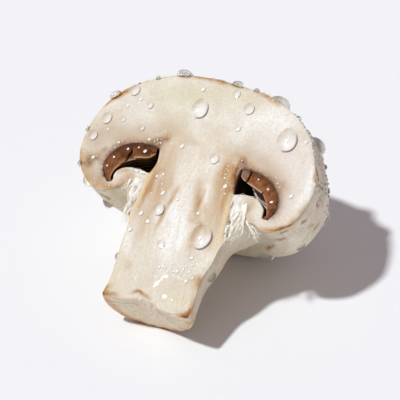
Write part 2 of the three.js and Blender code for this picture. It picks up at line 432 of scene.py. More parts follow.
# %% Numbers for the points, and the border of the cut face
rows, columns = skin.shape[:2]
skin_index = np.arange(rows * columns).reshape(rows, columns)
skin_index[0] = skin_index[0, 0]
skin_index[-1] = skin_index[-1, 0]
hollow_index = rows * columns + np.arange(hollow.shape[0] * hollow.shape[1]).reshape(hollow.shape[:2])
hollow_index[-1] = hollow_index[0]
body_points = np.concatenate([skin.reshape(-1, 3), hollow.reshape(-1, 3)])

rim_index = np.concatenate([skin_index[:, 0], skin_index[-2:0:-1, -1]])
mouth_index = [hollow_index[:-1, 0], hollow_index[:-1, -1]]
rim = body_points[rim_index, :2]
mouths = [body_points[index, :2] for index in mouth_index]
print("border:", len(rim), "points; openings:", [len(mouth) for mouth in mouths], "points")

# %% The cut face's points
FACE_SPACING = 0.27
JITTER, BORDER_GAP = 0.12, 0.6  # how far a point strays and how near it comes to the border, in spacings

across = np.arange(rim[:, 0].min(), rim[:, 0].max(), FACE_SPACING)
up = np.arange(rim[:, 1].min(), rim[:, 1].max(), FACE_SPACING * np.sqrt(3) / 2)
lattice = np.stack(np.meshgrid(across, up), -1)
lattice[1::2, :, 0] += FACE_SPACING / 2
lattice = lattice.reshape(-1, 2)
lattice += JITTER * FACE_SPACING * np.random.default_rng(3).uniform(-1, 1, lattice.shape)
clear = distance_to(lattice, closed(rim)) > BORDER_GAP * FACE_SPACING
inside = is_inside(lattice, rim)
for mouth in mouths:
    inside &= ~is_inside(lattice, mouth)
    clear &= distance_to(lattice, closed(mouth)) > BORDER_GAP * FACE_SPACING
lattice = lattice[inside & clear]
print("cut face:", len(lattice), "points inside the border")

# %% The cut face's triangles
ALL_TRIANGLES, TOLERANCE = 0, 1e-7  # what the triangulation gives back, and how near two points may lie
border_loops = [rim_index, *mouth_index]
border_points = np.concatenate([rim, *mouths])
edges, first = [], 0
for loop in border_loops:
    numbers = first + np.arange(len(loop))
    edges += np.stack([numbers, np.roll(numbers, -1)], -1).tolist()
    first += len(loop)
flat_points = np.concatenate([border_points, lattice])
made = delaunay_2d_cdt([Vector(p) for p in flat_points.tolist()], edges, [], ALL_TRIANGLES, TOLERANCE)
made_points, _, made_triangles, made_from = made[:4]
assert len(made_points) == len(flat_points), "two border points of the cut face fall together"
original = np.array([source[0] for source in made_from])
face_triangles = original[np.array(made_triangles)]
centres = flat_points[face_triangles].mean(1)
keep = is_inside(centres, rim)
for mouth in mouths:
    keep &= ~is_inside(centres, mouth)
face_triangles = face_triangles[keep]

first_new = len(body_points)
face_number = np.concatenate([*border_loops, first_new + np.arange(len(lattice))])
body_points = np.concatenate([body_points, np.column_stack([lattice, np.zeros(len(lattice))])])
face_triangles = face_number[face_triangles]
print("cut face:", len(face_triangles), "triangles")

# %% Close the body
body_faces = np.concatenate([grid_faces(skin_index), grid_faces(hollow_index), face_triangles])
SKIN_PART, HOLLOW_PART, FACE_PART = 0, 1, 2
part_sizes = [len(grid_faces(skin_index)), len(grid_faces(hollow_index)), len(face_triangles)]
body_part = np.repeat([SKIN_PART, HOLLOW_PART, FACE_PART], part_sizes)


def outwards(points, faces, part, toward):
    """Turn round the triangles of one part unless its largest share already points the way asked."""
    chosen = faces[part]
    a, b, c = (points[chosen[:, k]] for k in range(3))
    normal = np.cross(b - a, c - a)
    if (normal * toward((a + b + c) / 3)).sum() < 0:
        faces[part] = chosen[:, ::-1]


middle = np.array([0.0, 0.0, -AXIS_DEPTH_CAP])
outwards(body_points, body_faces, body_part == SKIN_PART, lambda at: at - middle)
outwards(body_points, body_faces, body_part == FACE_PART, lambda at: np.broadcast_to([0, 0, 1.0], at.shape))
tube_middle = hollow[:-1].mean(0)


def to_tube_middle(at):
    """The way from a point of the chamber's wall to the middle of the chamber's section nearest to it."""
    nearest = np.argmin(((at[:, None, ::2] - tube_middle[None, :, ::2]) ** 2).sum(2), 1)
    return tube_middle[nearest] - at


outwards(body_points, body_faces, body_part == HOLLOW_PART, to_tube_middle)
used, body_faces = np.unique(body_faces, return_inverse=True)
body_faces = body_faces.reshape(-1, 3)
body_points = body_points[used]
body_volume = volume_of(body_points, body_faces) / 1000
print("body:", len(body_points), "points,", len(body_faces), "triangles,", round(body_volume, 2), "cm3")

# %% [markdown]
# ## Relief
#
# A mushroom isn't smooth. The stem is a bundle of long fibres, the cap is softly dented, and the veil, the
# skin that once closed the gills off, is torn where it joins the stem. Each of these is a height added along
# the surface's own direction, so it is a real shape and not only paint. First come the distances that both
# the relief and the colours are measured from.

# %% Where things are on the body
parts = {name: body_faces[body_part == part] for name, part in
         (("skin", SKIN_PART), ("hollow", HOLLOW_PART), ("face", FACE_PART))}


def belongs(name):
    """Which points are a corner of that part's triangles."""
    mask = np.zeros(len(body_points), bool)
    mask[np.unique(parts[name])] = True
    return mask


on_face, on_skin, in_hollow = belongs("face"), belongs("skin"), belongs("hollow")
u, v, w = body_points.T

FAR = 30.0  # the distance given to points off the cut face


def near_lines(lines):
    """The distance from the cut face's points to the nearest of several lines, and FAR for other points."""
    result = np.full(len(body_points), FAR)
    result[on_face] = np.min([distance_to(body_points[on_face, :2], line) for line in lines], axis=0)
    return result


ROOF_POINTS = CHAMBER_STEPS * (len(GILL_ROOT_LEFT) - 1) // (len(GILL_ROOT_LEFT) + len(FLOOR_LEFT)) + 1
rim_distance = near_lines([closed(rim)])
roof_distance = near_lines([mouth[:ROOF_POINTS] for mouth in mouths])
mouth_distance = near_lines([closed(mouth) for mouth in mouths])
print("points on the face:", on_face.sum(), "on the skin:", on_skin.sum(), "in the chamber:", in_hollow.sum())

# %% The stem's two edges on the cut face, and the torn veil beside them
STEM_EDGE_LEFT = [
    (-14.0, 9.0), (-11.2, 4.2), (-8.9, 1.0), (-8.7, -2.4), (-9.4, -4.7), (-9.9, -6.3), (-10.5, -9.9),
    (-11.0, -13.5), (-11.2, -17.7), (-11.6, -24), (-12.2, -33),
]
STEM_EDGE_RIGHT = [
    (12.5, 8.0), (9.6, 2.6), (8.6, 0.0), (8.6, -3.0), (8.7, -5.6), (9.0, -9.4), (9.2, -12.0),
    (9.3, -15.5), (9.2, -17.6), (7.4, -24.5), (7.6, -33),
]
MARGIN_LEFT = [(-13.2, -4.0), (-13.4, -5.4), (-13.9, -6.8), (-14.9, -8.2), (-16.5, -9.3), (-18.3, -9.9)]
MARGIN_RIGHT = [(10.9, -5.6), (11.4, -7.6), (12.3, -9.8), (13.9, -11.6), (16.2, -12.9)]


def across_at(line, height):
    """The place across of a line at each height."""
    line = np.array(sorted(line, key=lambda point: point[1]))
    return np.interp(height, line[:, 1], line[:, 0])


inside_left = u - across_at(STEM_EDGE_LEFT, v)
inside_right = across_at(STEM_EDGE_RIGHT, v) - u
inside_stem = np.minimum(inside_left, inside_right)
below_gills = 1 - ease(v, -4.2, -3.0)
beyond_margin = np.where(u < 0, u - across_at(MARGIN_LEFT, v), across_at(MARGIN_RIGHT, v) - u)
tear = rough(body_points, [1.1, 1.4, 1.1], 91, 3)
veil_face = on_face * below_gills * ease(-inside_stem, 0.0, 0.4)
veil_face *= ease(beyond_margin + 0.6 * tear, -0.35, 0.35)
veil_face *= 1 - ease(-v, 14.5, 16.5)
print("points on the torn veil:", (veil_face > 0.5).sum())

# %% The relief of the skin and of the chamber
DENT, GRAIN = 0.12, 0.02  # heights in millimetres, first on the cap
FURROW, FIBRE = 0.2, 0.06  # and on the stem
TATTER = 0.35  # the ragged place where the veil tore off the skin
SKIN_LOWERED = 0.1  # brings the tops of the relief back to the drawing
HOLLOW_LUMP = 0.12
STEM_RADIUS = 9  # turns an angle round the stem into millimetres
FIBRE_STRETCH = 14  # the fibres are this many times longer than wide

stem_share = ease(-v, 11, 17)
round_stem = np.arctan2(-w - axis_depth(v), u) * STEM_RADIUS
fibre_place = np.stack([round_stem, v / FIBRE_STRETCH, np.zeros_like(v)], -1)
furrows = rough(fibre_place, 1.7, 11, 2)
fibres = rough(fibre_place, 0.55, 21, 2)
dents = rough(body_points, 7.0, 31, 3)
grain = rough(body_points, 0.9, 41, 2)
near_veil = hump(v, -12.0, 3.0) * (np.hypot(u, w + 4) < 21)
ragged = rough(body_points, [1.3, 1.6, 1.3], 51, 3)

cap_height = DENT * dents + GRAIN * grain
stem_height = FURROW * furrows + FIBRE * fibres + GRAIN * grain
skin_height = mix(cap_height, stem_height, stem_share) + TATTER * near_veil * ragged - SKIN_LOWERED
hollow_height = HOLLOW_LUMP * rough(body_points, 1.4, 61, 2)
print("skin relief, lowest and highest in mm:", np.percentile(skin_height[on_skin], [0, 100]).round(2))

# %% The fibres and furrows of the cut stem
lean = np.interp(v, [-33, 0, 10], [0.0, 0.06, 0.35]) * u  # the fibres fan out where the stem meets the cap
face_fibre_place = np.stack([u - lean, v / 6, w], -1)
face_fibres = rough(face_fibre_place, 1.3, 71, 3)
above_seam = v - (4.1 - 0.026 * (u + 2.5) ** 2)  # the stem's fibres end at an arched seam below the cap
seam_waver = 1.6 * rough(body_points, 2.2, 73, 3)
stem_face = ease(inside_stem, -0.4, 1.2) * (1 - ease(above_seam + seam_waver, -3.5, 2.0))
FURROWS = [  # a path down the face, its half width and its depth
    ([(-3.0, -7.6), (-3.3, -10.7), (-4.0, -12.9), (-4.4, -14.8), (-4.5, -17.4)], 0.42, 0.22),
    ([(-6.3, -11.0), (-6.9, -14.6), (-7.0, -18.5)], 0.4, 0.14),
    ([(3.1, -6.4), (3.0, -8.2), (2.7, -10.4)], 0.5, 0.14),
    ([(2.9, -11.0), (2.4, -13.8)], 0.35, 0.1),
    ([(4.4, -6.6), (4.3, -9.8)], 0.3, 0.06),
    ([(0.6, -13.4), (0.2, -18.8)], 0.4, 0.12),
]
scored = np.zeros(len(body_points))
for path, half_width, depth in FURROWS:
    path = spline(path, np.linspace(0, len(path) - 1, 24))
    away = near_lines([path]) + 0.12 * face_fibres
    scored = np.maximum(scored, depth * hump(away, 0, half_width))
print("furrows:", len(FURROWS), "and the deepest is", scored.max().round(2), "mm")

# %% The height of the cut face
KNIFE_WAVE, CUT_FIBRE, WET_RIPPLE = 0.07, 0.05, 0.05  # heights in millimetres
FACE_LOWERED = 0.05  # keeps the face's relief behind the knife's plane
SKIN_EDGE, MOUTH_EDGE = 0.16, 0.05  # how far the face's edges are rounded down

wet = on_face * ease(-v + 1.2 * rough(body_points, 3.0, 75, 2), 21.5, 24.5) * ease(rim_distance, 0.3, 2.5)
wet *= ease(u + 0.1 * v, -7.5, -4.0)
face_height = KNIFE_WAVE * rough(body_points, 2.8, 81, 3)
face_height = face_height + (1 - 0.8 * wet) * CUT_FIBRE * stem_face * face_fibres - scored
face_height += WET_RIPPLE * wet * rough(body_points, [1.6, 2.6, 1.0], 83, 2)
face_height -= (FACE_LOWERED + SKIN_EDGE * hump(rim_distance, 0, 0.35)
                + MOUTH_EDGE * hump(mouth_distance, 0, 0.3))
print("wet points near the stem's end:", (wet > 0.5).sum())

# %% The broken face of the veil
groove = hump(u, across_at([(10.4, -8.0), (10.2, -9.6), (9.9, -13.6)], v), 0.5) * hump(v, -11.4, 2.4)
notch = hump(u, across_at([(12.6, -11.0), (14.0, -14.0)], v), 0.6) * hump(v, -12.8, 1.2)
left_hollow = 0.9 * hump(u, -13.2, 1.6) * hump(v, -11.0, 1.8)
hollowed = 1.3 * groove + 1.1 * notch + left_hollow
face_height -= veil_face * (0.4 + 0.35 * tear + 0.9 * hollowed)
print("the veil lies up to", (-face_height[veil_face > 0.5]).max().round(2), "mm behind the knife's plane")

# %% Move the points
def corner_normals(name):
    """The average direction, at each point, of the triangles of one part that meet there."""
    corners = parts[name]
    a, b, c = (body_points[corners[:, k]] for k in range(3))
    facing = np.cross(b - a, c - a)
    total = np.zeros_like(body_points)
    for k in range(3):
        np.add.at(total, corners[:, k], facing)
    return total / np.maximum(np.linalg.norm(total, axis=1, keepdims=True), 1e-12)


shift = (on_skin * skin_height)[:, None] * corner_normals("skin")
shift += (in_hollow * ~on_face * hollow_height)[:, None] * corner_normals("hollow")
shift[on_face, 2] = np.minimum(face_height[on_face], 0)

END_WAVE_AT = [-12.5, -8.0, -4.5, -1.8, 1.2, 4.7, 8.0]  # places across the stem's broken end
END_WAVE = [0.5, 0.7, 1.35, 1.1, 0.6, 0.15, 0.0]  # and how much higher the end is there
near_end = ease(-v, STEM_LENGTH - 5, STEM_LENGTH) * np.exp(w / 9)
shift[:, 1] += near_end * np.interp(u, END_WAVE_AT, END_WAVE)
body_shaped = body_points + shift
print("points moved by up to", np.abs(shift).max().round(2), "mm")

# %% [markdown]
# ## Stains
#
# Cut flesh browns where air and water reach it, and it isn't one colour even when fresh. Stains could be
# painted by hand in Blender. Here each one is a brush stroke written down in numbers, which is easy to move
# and comes out the same on every run: a path with a strength at each of its points and a half width, fading
# out like a bell. There are nine pots of colour and one of gloss. One pot is painted light, the pale band in
# the veil's thin edge along the stem, and another also holds painted shade, the grey-brown on the skin's
# right flank. The strokes of one pot don't add up: the strongest one wins. Paths on the cut face have two
# coordinates and paths on the skin have three.

# %% Lemon, rose and beige: broad washes over the fresh flesh
LEMON = [
    ([(-11, 12.5, 0.7), (-7, 13.5, 0.9), (-2, 14.2, 0.8), (4, 15, 0.7), (10, 15.2, 0.6)], 3.0),
    ([(-10, 8.6, 0.7), (-6.4, 8.0, 0.8), (-5.6, 5.8, 0.7)], 2.2),
    ([(-25.2, -2, 0.5), (-25.4, 1.5, 0.7), (-24.4, 4.8, 0.7)], 1.2),
    ([(-10.8, -17.5, 0.4), (-10.3, -22.5, 0.7), (-10.4, -27, 0.9), (-11, -30, 0.8)], 1.8),
    ([(-7.6, -27.5, 0.3), (-7.8, -30.4, 0.5)], 1.6),
    ([(2.0, -28.5, 0.5), (5.2, -29.8, 0.8), (6.2, -27, 0.5)], 1.7),
    ([(1.0, -12.2, 0.2), (6.5, -13.6, 0.35)], 1.5),
]
ROSE = [
    ([(11, 9, 0.4), (15, 6.5, 0.8), (19, 3, 1.0), (21.3, -1, 1.0), (20, -6, 0.9), (17.5, -10, 0.7)], 4.6),
    ([(-18, 9.6, 0.4), (-14, 9.2, 0.4)], 2.0),
    ([(-2.6, -23, 0.7), (-2.8, -27, 0.7)], 1.8),
]
BEIGE = [
    ([(-23.4, 0.6, 0.9), (-21, 2.6, 0.9), (-17.5, 2.4, 0.9), (-13.5, 3.4, 0.7), (-9, 4.6, 0.45)], 2.9),
    ([(-24.0, -2.6, 0.7), (-23.3, -5.2, 0.95), (-21.4, -7.2, 1.15), (-18.6, -8.8, 0.9)], 1.9),
    ([(5.8, 3.6, 0.25), (9.4, 3.0, 0.6), (13.6, 1.6, 0.7), (17.2, -1.0, 0.6), (19.3, -4.6, 0.55),
      (18.6, -8.6, 0.5)], 2.0),
    ([(-8.0, -5.0, 0.2), (-7.4, -14, 0.35), (-8.2, -18, 0.2)], 2.2),
    ([(-2.2, -25, 0.5), (-4.2, -28.2, 0.4)], 1.2),
    ([(0.5, -27.5, 0.45), (3.5, -26.4, 0.6), (5.8, -27.2, 0.5)], 1.8),
    ([(12.2, -8.6, 0.7), (13.0, -10.2, 0.5)], 1.5),
]

# %% White: the palest fibres, and places where flesh has dried pale
WHITE = [
    ([(-2.4, -2.0, 0.2), (-1.2, -7.0, 0.4), (-1.8, -11.5, 1.0), (-1.0, -14.5, 1.0), (-1.2, -18, 1.0),
      (-0.8, -21, 0.6), (0, -23.5, 0.4)], 1.8),
    ([(-0.6, -0.8, 0.3), (-0.2, -5.0, 0.3), (0.3, -9.0, 0.5), (0.6, -13.5, 1.0), (0.8, -18.5, 0.9)], 1.3),
    ([(-4.9, -10.6, 0.2), (-5.0, -12.2, 0.9), (-5.6, -14.4, 0.4)], 0.7),
    ([(-9.8, -15.0, 0.4), (-10.0, -18.5, 0.7), (-9.8, -21.5, 0.6)], 1.1),
    ([(-3.2, -11.4, 0.5), (-3.4, -14.8, 0.6)], 0.7),
    ([(3.2, 0.2, 0.7), (2.2, -1.4, 0.3)], 0.9),
    ([(4.0, -5.4, 0.5), (4.1, -8.4, 0.6)], 0.6),
    ([(5.8, -21.6, 0.2), (7.2, -21.2, 0.4), (7.7, -19.8, 0.4)], 0.9),
    ([(-3.6, 10.4, 0.4), (-2.4, 9.8, 0.9), (-1.2, 10.2, 0.4)], 1.6),
    ([(8, 9.4, 0.6), (12.5, 11.4, 0.7), (15.6, 10.2, 0.8)], 2.4),
    ([(23.4, 2.6, 0.5), (24.0, -1.5, 0.8), (23.2, -6.0, 0.6)], 0.9),
    ([(-14.6, -7.2, 0.4), (-12.6, -6.0, 0.8), (-11.6, -5.2, 0.9)], 0.9),
]

# %% Tan: the first browning, along the stem's sides, under the gills and at the broken edges
TAN = [
    ([(-8.2, 3.4, 0.8), (-7.9, 1.0, 0.5), (-8.2, -1.6, 0.55), (-8.7, -4.4, 0.65), (-8.8, -8.2, 0.75),
      (-9.4, -10.6, 0.5), (-9.8, -13.5, 0.35), (-10, -16, 0.2)], 1.2),
    ([(-6.4, 1.2, 0.4), (-6.3, -2.4, 0.5), (-6.4, -5.0, 0.55), (-6.4, -8.4, 0.6), (-7.2, -10.6, 0.35),
      (-7.6, -13, 0.35), (-7.8, -17, 0.25)], 1.9),
    ([(-5.0, -0.8, 0.3), (-4.9, -3.4, 0.4), (-4.8, -7.6, 0.5), (-5.4, -9.4, 0.2)], 0.8),
    ([(-2.6, -6.6, 0.4), (-2.9, -8.4, 0.7), (-3.7, -10.6, 0.6), (-4.1, -12.0, 0.8), (-4.3, -14.2, 0.6),
      (-4.7, -15.6, 0.2)], 0.5),
    ([(1.4, -4.6, 0.3), (1.9, -7.0, 0.55), (2.4, -8.6, 0.7), (2.5, -10.4, 0.7), (2.9, -12.6, 0.5)], 1.0),
    ([(3.4, -6.4, 0.3), (3.0, -8.2, 0.6), (2.8, -10.2, 0.6), (2.5, -11.4, 0.3)], 0.5),
    ([(1.6, -11.4, 0.3), (1.9, -12.8, 0.4), (4.2, -13.6, 0.6), (3.4, -16.2, 0.45), (3.6, -18.4, 0.4)], 0.9),
    ([(6.6, 1.0, 0.4), (6.4, -1.4, 0.9), (6.0, -3.2, 0.9), (6.4, -5.4, 0.75), (6.4, -8.4, 0.6),
      (6.4, -11, 0.5), (6.2, -14, 0.25)], 1.6),
    ([(7.6, -0.6, 0.9), (7.6, -4.0, 0.85), (7.7, -7.0, 0.85), (7.6, -10.4, 0.65), (7.6, -13.0, 0.45),
      (7.4, -15.4, 0.2)], 1.1),
    ([(4.6, -10.4, 0.4), (5.2, -12.4, 0.4), (5.6, -14.2, 0.3), (6.9, -16.0, 0.6), (7.4, -17.6, 0.3)], 0.9),
    ([(-9.4, 2.4, 0.9), (-8.6, 3.3, 0.7), (-7.0, 4.2, 0.45), (-4.8, 4.3, 0.3), (-2.8, 4.2, 0.25)], 1.1),
    ([(-9.8, 5.0, 0.25), (-7.6, 6.0, 0.2), (-5.4, 5.8, 0.1)], 1.5),
    ([(-6.6, 3.0, 0.3), (-4.4, 3.3, 0.3), (-2.4, 3.5, 0.35), (-0.6, 3.4, 0.15)], 0.8),
    ([(1.8, 2.5, 0.1), (4.2, 2.3, 0.15), (6.2, 2.0, 0.3), (8.0, 1.8, 0.5), (9.4, 1.2, 0.8)], 1.3),
    ([(4.0, 0.2, 0.4), (5.4, -0.3, 0.2)], 0.5),
    ([(-24.6, -5.0, 0.6), (-23.4, -4.2, 0.8), (-22.2, -3.2, 0.6), (-20.8, -2.0, 0.4)], 1.3),
    ([(-20.6, -3.4, 0.4), (-19.6, -0.8, 0.3), (-17.2, 1.2, 0.35), (-13.8, 1.9, 0.35),
      (-10.8, 2.4, 0.6)], 1.1),
    ([(-20.2, -8.6, 0.5), (-17.4, -9.0, 0.8), (-15.6, -8.4, 0.8), (-14.6, -7.0, 0.7),
      (-13.6, -5.7, 0.6)], 0.8),
    ([(-16.2, -5.9, 0.2), (-15.6, -5.4, 0.6), (-14.2, -4.9, 0.6), (-13.0, -4.9, 0.3)], 0.5),
    ([(-25.6, -2.8, 0.6), (-24.4, -5.9, 0.7), (-22.4, -8.0, 0.6), (-20, -9.5, 0.7)], 0.7),
    ([(10.4, 0.6, 0.6), (13.2, 0.0, 0.4), (16.2, -1.2, 0.4), (18.6, -3.4, 0.35)], 1.3),
    ([(13.4, -7.4, 0.4), (12.9, -8.8, 0.7), (12.7, -10.4, 0.5), (14.2, -11.4, 0.4)], 0.9),
    ([(15.0, -12.0, 0.4), (17.0, -12.4, 0.7), (19.0, -12.0, 0.9), (21.0, -11.2, 0.6)], 0.8),
    ([(-10.4, -29.6, 0.2), (-11.4, -30.3, 0.7), (-10.6, -31.4, 0.65), (-8.6, -31.6, 0.3)], 0.75),
    ([(-5.8, -31.0, 0.3), (-4.6, -30.3, 0.7), (-3.8, -30.8, 0.7), (-2.4, -31.3, 0.4)], 0.5),
    ([(4.4, -32.3, 0.2), (6.0, -32.2, 0.7), (6.9, -31.4, 0.9), (7.2, -29.6, 0.6), (7.2, -27.6, 0.2)], 0.6),
    ([(5.2, -25.6, 0.2), (7.0, -24.6, 0.6), (6.7, -26.4, 0.3)], 0.8),
    ([(-8.2, -24.0, 0.3), (-8.0, -25.0, 0.3)], 0.7),
    ([(-23.6, 8.8, 0.4), (-22.4, 9.9, 0.9), (-20.8, 11.4, 0.9), (-19.4, 12.9, 0.6), (-18.4, 13.7, 0.1)], 0.6),
    ([(-9.5, 17.0, 0.2), (-6.0, 17.5, 0.6), (-1.0, 17.4, 0.8), (3.0, 17.0, 0.8), (6.0, 16.6, 0.4)], 0.5),
    ([(8.0, 16.3, 0.5), (11.0, 15.4, 0.8), (13.4, 14.2, 0.5)], 0.5),
    ([(22.3, -10.4, -0.2, 0.9), (23.1, -9.2, -0.3, 0.9), (23.9, -7.6, -0.4, 0.8),
      (24.5, -6.0, -0.4, 0.6)], 0.8),
]

# %% Gold: juice dried to a golden rim
GOLD = [
    ([(-8.4, -4.2, 0.3), (-8.6, -5.8, 0.5), (-8.8, -7.8, 0.6), (-9.2, -9.8, 0.45), (-9.6, -12.4, 0.2)], 0.5),
    ([(8.5, 1.2, 0.2), (8.4, -0.6, 1.0), (8.3, -2.4, 0.9), (8.3, -5.0, 0.8), (8.3, -7.4, 0.6),
      (8.0, -10.0, 0.3)], 0.42),
    ([(7.2, 0.4, 0.2), (7.7, -0.4, 0.4), (7.5, -1.6, 0.3)], 0.5),
    ([(23.6, 3.2, -0.6, 0.6), (24.1, 2.2, -0.8, 1.2), (24.5, 1.2, -1.2, 1.5), (25.0, 0.5, -1.8, 1.2)], 0.4),
    ([(-7.0, -3.4, 0.3), (-7.8, -4.0, 0.5), (-8.2, -6.6, 0.5)], 0.5),
    ([(2.8, -8.6, 0.3), (2.6, -10.2, 0.3)], 0.3),
    ([(-10.9, -29.6, 0.2), (-11.9, -30.2, 1.0), (-12.2, -31.2, 1.0), (-10.6, -31.6, 0.8),
      (-9.0, -31.6, 0.4)], 0.6),
    ([(-5.2, -30.8, 0.7), (-4.4, -30.4, 0.9), (-3.6, -30.6, 0.7), (-1.6, -31.2, 0.4)], 0.4),
    ([(5.0, -32.6, 0.5), (6.2, -32.4, 1.0), (6.9, -32.1, 1.0), (7.3, -31.0, 0.9), (7.5, -29.2, 0.4)], 0.5),
    ([(7.7, -23.6, 0.2), (7.5, -24.6, 0.9), (7.3, -25.8, 0.8), (7.2, -27.0, 0.3)], 0.35),
    ([(-23.7, 8.6, 0.6), (-22.7, 9.7, 1.0), (-21.6, 10.4, 1.0), (-20.4, 11.4, 1.0),
      (-19.6, 12.7, 0.7)], 0.45),
    ([(-8.0, 17.6, 0.3), (-5.0, 17.7, 0.7), (0.0, 17.6, 0.8), (3.4, 17.1, 0.7)], 0.3),
    ([(9.4, 16.2, 0.5), (11.4, 15.6, 0.8), (13.2, 14.7, 0.5)], 0.3),
    ([(24.3, 1.6, 0.4), (24.4, 0.5, 0.9), (24.9, -0.4, 0.9)], 0.3),
    ([(24.7, 0.0, -0.2, 0.9), (25.2, -0.6, -0.8, 0.7)], 0.35),
    ([(17.1, -12.6, 0.2), (18.7, -12.4, 0.7), (20.1, -11.9, 1.0), (22.0, -10.9, 0.9)], 0.45),
    ([(-11.7, -31.4, -0.4, 0.9), (-11.1, -32.0, -3.4, 0.8), (-10.0, -32.5, -8.0, 0.8),
      (-8.1, -32.8, -10.0, 0.9), (-4.6, -33.0, -11.9, 1.0), (-1.2, -33.0, -11.6, 1.0),
      (2.3, -33.3, -9.9, 0.8), (5.4, -33.2, -6.5, 0.5), (7.2, -32.8, -2.3, 0.8)], 1.0),
]

# %% Umber: the dark line where the gills join the flesh, and painted shade on the skin's right flank
UMBER_AND_FLANK_SHADE = [
    ([(-19.9, -4.2, 0.5), (-19.4, -2.4, 0.7), (-18.4, -0.6, 0.6), (-16.4, 0.3, 0.55), (-13.8, 0.8, 0.5),
      (-11.6, 1.3, 0.65), (-9.8, 1.1, 0.9), (-9.1, 1.9, 0.6)], 0.65),
    ([(-11.8, 1.6, 0.4), (-10.4, 2.1, 0.6), (-9.2, 2.4, 0.7), (-8.4, 3.2, 0.3)], 0.75),
    ([(-17.6, 0.6, 0.5), (-17.0, 0.9, 0.3)], 0.6),
    ([(-20.4, -1.4, 0.5), (-19.8, -1.2, 0.3)], 0.7),
    ([(-24.2, -4.9, 0.35), (-23.2, -4.4, 0.5), (-22.4, -3.8, 0.45), (-21.2, -3.4, 0.3)], 1.0),
    ([(8.9, 1.4, 0.4), (9.4, 0.6, 0.75), (9.9, 0.0, 0.8), (10.4, -0.9, 0.6)], 0.75),
    ([(10.0, -0.5, 0.7), (12.2, -0.5, 0.5), (14.4, -1.2, 0.6), (16.4, -2.2, 0.6), (18.0, -4.2, 0.5),
      (18.7, -6.4, 0.4), (18.2, -8.6, 0.4)], 0.6),
    ([(16.4, -1.8, 0.3), (18.2, -2.6, 0.35)], 0.9),
    ([(8.7, 0.4, 0.5), (8.7, -2.0, 0.9), (8.9, -4.4, 0.8), (9.1, -6.0, 0.3)], 0.35),
    # painted shade: a grey-brown wash along the skin's right flank, which faces away from the lamp
    ([(19.6, 9.4, -3.0, 0.25), (22.6, 5.6, -4.6, 0.3), (24.6, 0.6, -5.6, 0.25),
      (24.6, -5.0, -7.0, 0.1)], 2.4),
]

# %% Rust: torn and bruised places, mostly on the skin
RUST = [
    ([(-11.9, -30.2, 0.5), (-12.3, -31.1, 1.0), (-12.1, -31.7, 1.0), (-11.2, -31.8, 0.4)], 0.38),
    ([(-4.9, -30.7, 0.4), (-4.3, -30.5, 0.4)], 0.4),
    ([(5.9, -32.7, 0.5), (6.6, -32.6, 1.0), (7.0, -32.3, 0.9), (7.3, -31.2, 0.4)], 0.36),
    ([(19.9, -12.0, 0.4), (21.3, -11.4, 1.0), (22.4, -10.7, 1.4), (23.2, -10.3, 1.4)], 0.38),
    ([(25.3, -4.0, -4.9, 0.6), (25.3, -3.6, -3.5, 0.7), (25.4, -2.6, -4.6, 0.5),
      (25.5, -2.6, -6.4, 0.4)], 0.25),
    ([(15.2, -11.9, -11.5, 0.7), (16.0, -12.3, -11.2, 1.0), (17.7, -12.4, -8.1, 0.6)], 0.26),
    ([(16.0, -12.3, -11.2, 1.0), (14.0, -11.8, -14.5, 0.6)], 0.28),
    ([(23.8, -8.5, -2.8, 0.7), (24.1, -7.7, -3.6, 0.6)], 0.35),
    ([(24.4, -7.3, -9.5, 0.7), (24.7, -6.1, -10.3, 0.6)], 0.4),
    ([(23.9, 2.6, -0.8, 0.5), (24.4, 1.4, -1.3, 0.8), (25.0, 0.6, -1.9, 1.0)], 0.28),
    ([(20.3, -11.7, -1.8, 0.6), (21.6, -11.1, -1.6, 0.5)], 0.3),
    ([(18.8, -12.3, -4.4, 0.5), (20.4, -11.9, -4.7, 0.5)], 0.35),
    ([(24.3, -7.7, -6.4, 0.5), (24.5, -7.3, -7.7, 0.5)], 0.3),
    ([(-20.2, -9.9, -3.2, 0.6), (-19.4, -10.0, -4.2, 0.9), (-19.0, -10.0, -5.4, 0.6)], 0.45),
    ([(-20.8, -9.6, -0.6, 0.4), (-19.4, -10.0, -0.9, 0.5), (-18.2, -10.0, -0.6, 0.4)], 0.3),
    ([(-10.6, -32.3, -7.6, 0.3), (-8.6, -33.0, -10.6, 0.6), (-5.6, -33.2, -12.1, 0.85),
      (-2.0, -33.3, -12.1, 0.85), (1.6, -33.4, -10.6, 0.5)], 0.6),
]

# %% Honey, painted light in the veil's thin edge along the stem, and gleam, the gloss of wet flesh
VEIL_EDGE_GLOW = [
    ([(-9.1, -4.4, 0.4), (-9.5, -6.0, 0.9), (-9.9, -8.2, 0.95), (-10.2, -10.6, 0.9),
      (-10.6, -14.5, 0.5)], 0.42),
    ([(8.6, -6.4, 0.2), (8.7, -8.2, 0.9), (8.8, -10.5, 1.0), (8.9, -13.0, 1.0), (8.9, -16.0, 0.9),
      (8.7, -18.6, 0.4)], 0.5),
]
GLEAM = [  # smooth wet patches near the stem's end, where the water mirrors the lamp
    ([(0.2, -25.3, 0.9), (-0.6, -25.8, 1.0), (-1.2, -26.6, 1.0), (-1.5, -28.0, 0.8)], 0.55),
    ([(-1.9, -25.8, 0.8), (-1.4, -26.6, 1.0)], 0.5),
    ([(0.9, -29.6, 0.9), (1.9, -29.9, 1.0), (2.7, -30.0, 0.9)], 0.42),
    ([(-2.0, -23.5, 0.5), (-0.6, -24.1, 0.7), (0.8, -24.6, 0.7), (2.1, -24.8, 0.7), (3.4, -25.0, 0.7),
      (4.7, -25.4, 0.7)], 0.16),
]

# %% Paint the strokes
STRAY = 0.42  # how far a stroke's edge wanders, in millimetres
BELL_REACH = 2.4  # past this many half widths a stroke is too faint to see
waver = np.stack([rough(body_points, 1.6, 91 + k, 3) for k in range(3)], -1)
strayed = body_points + STRAY * waver


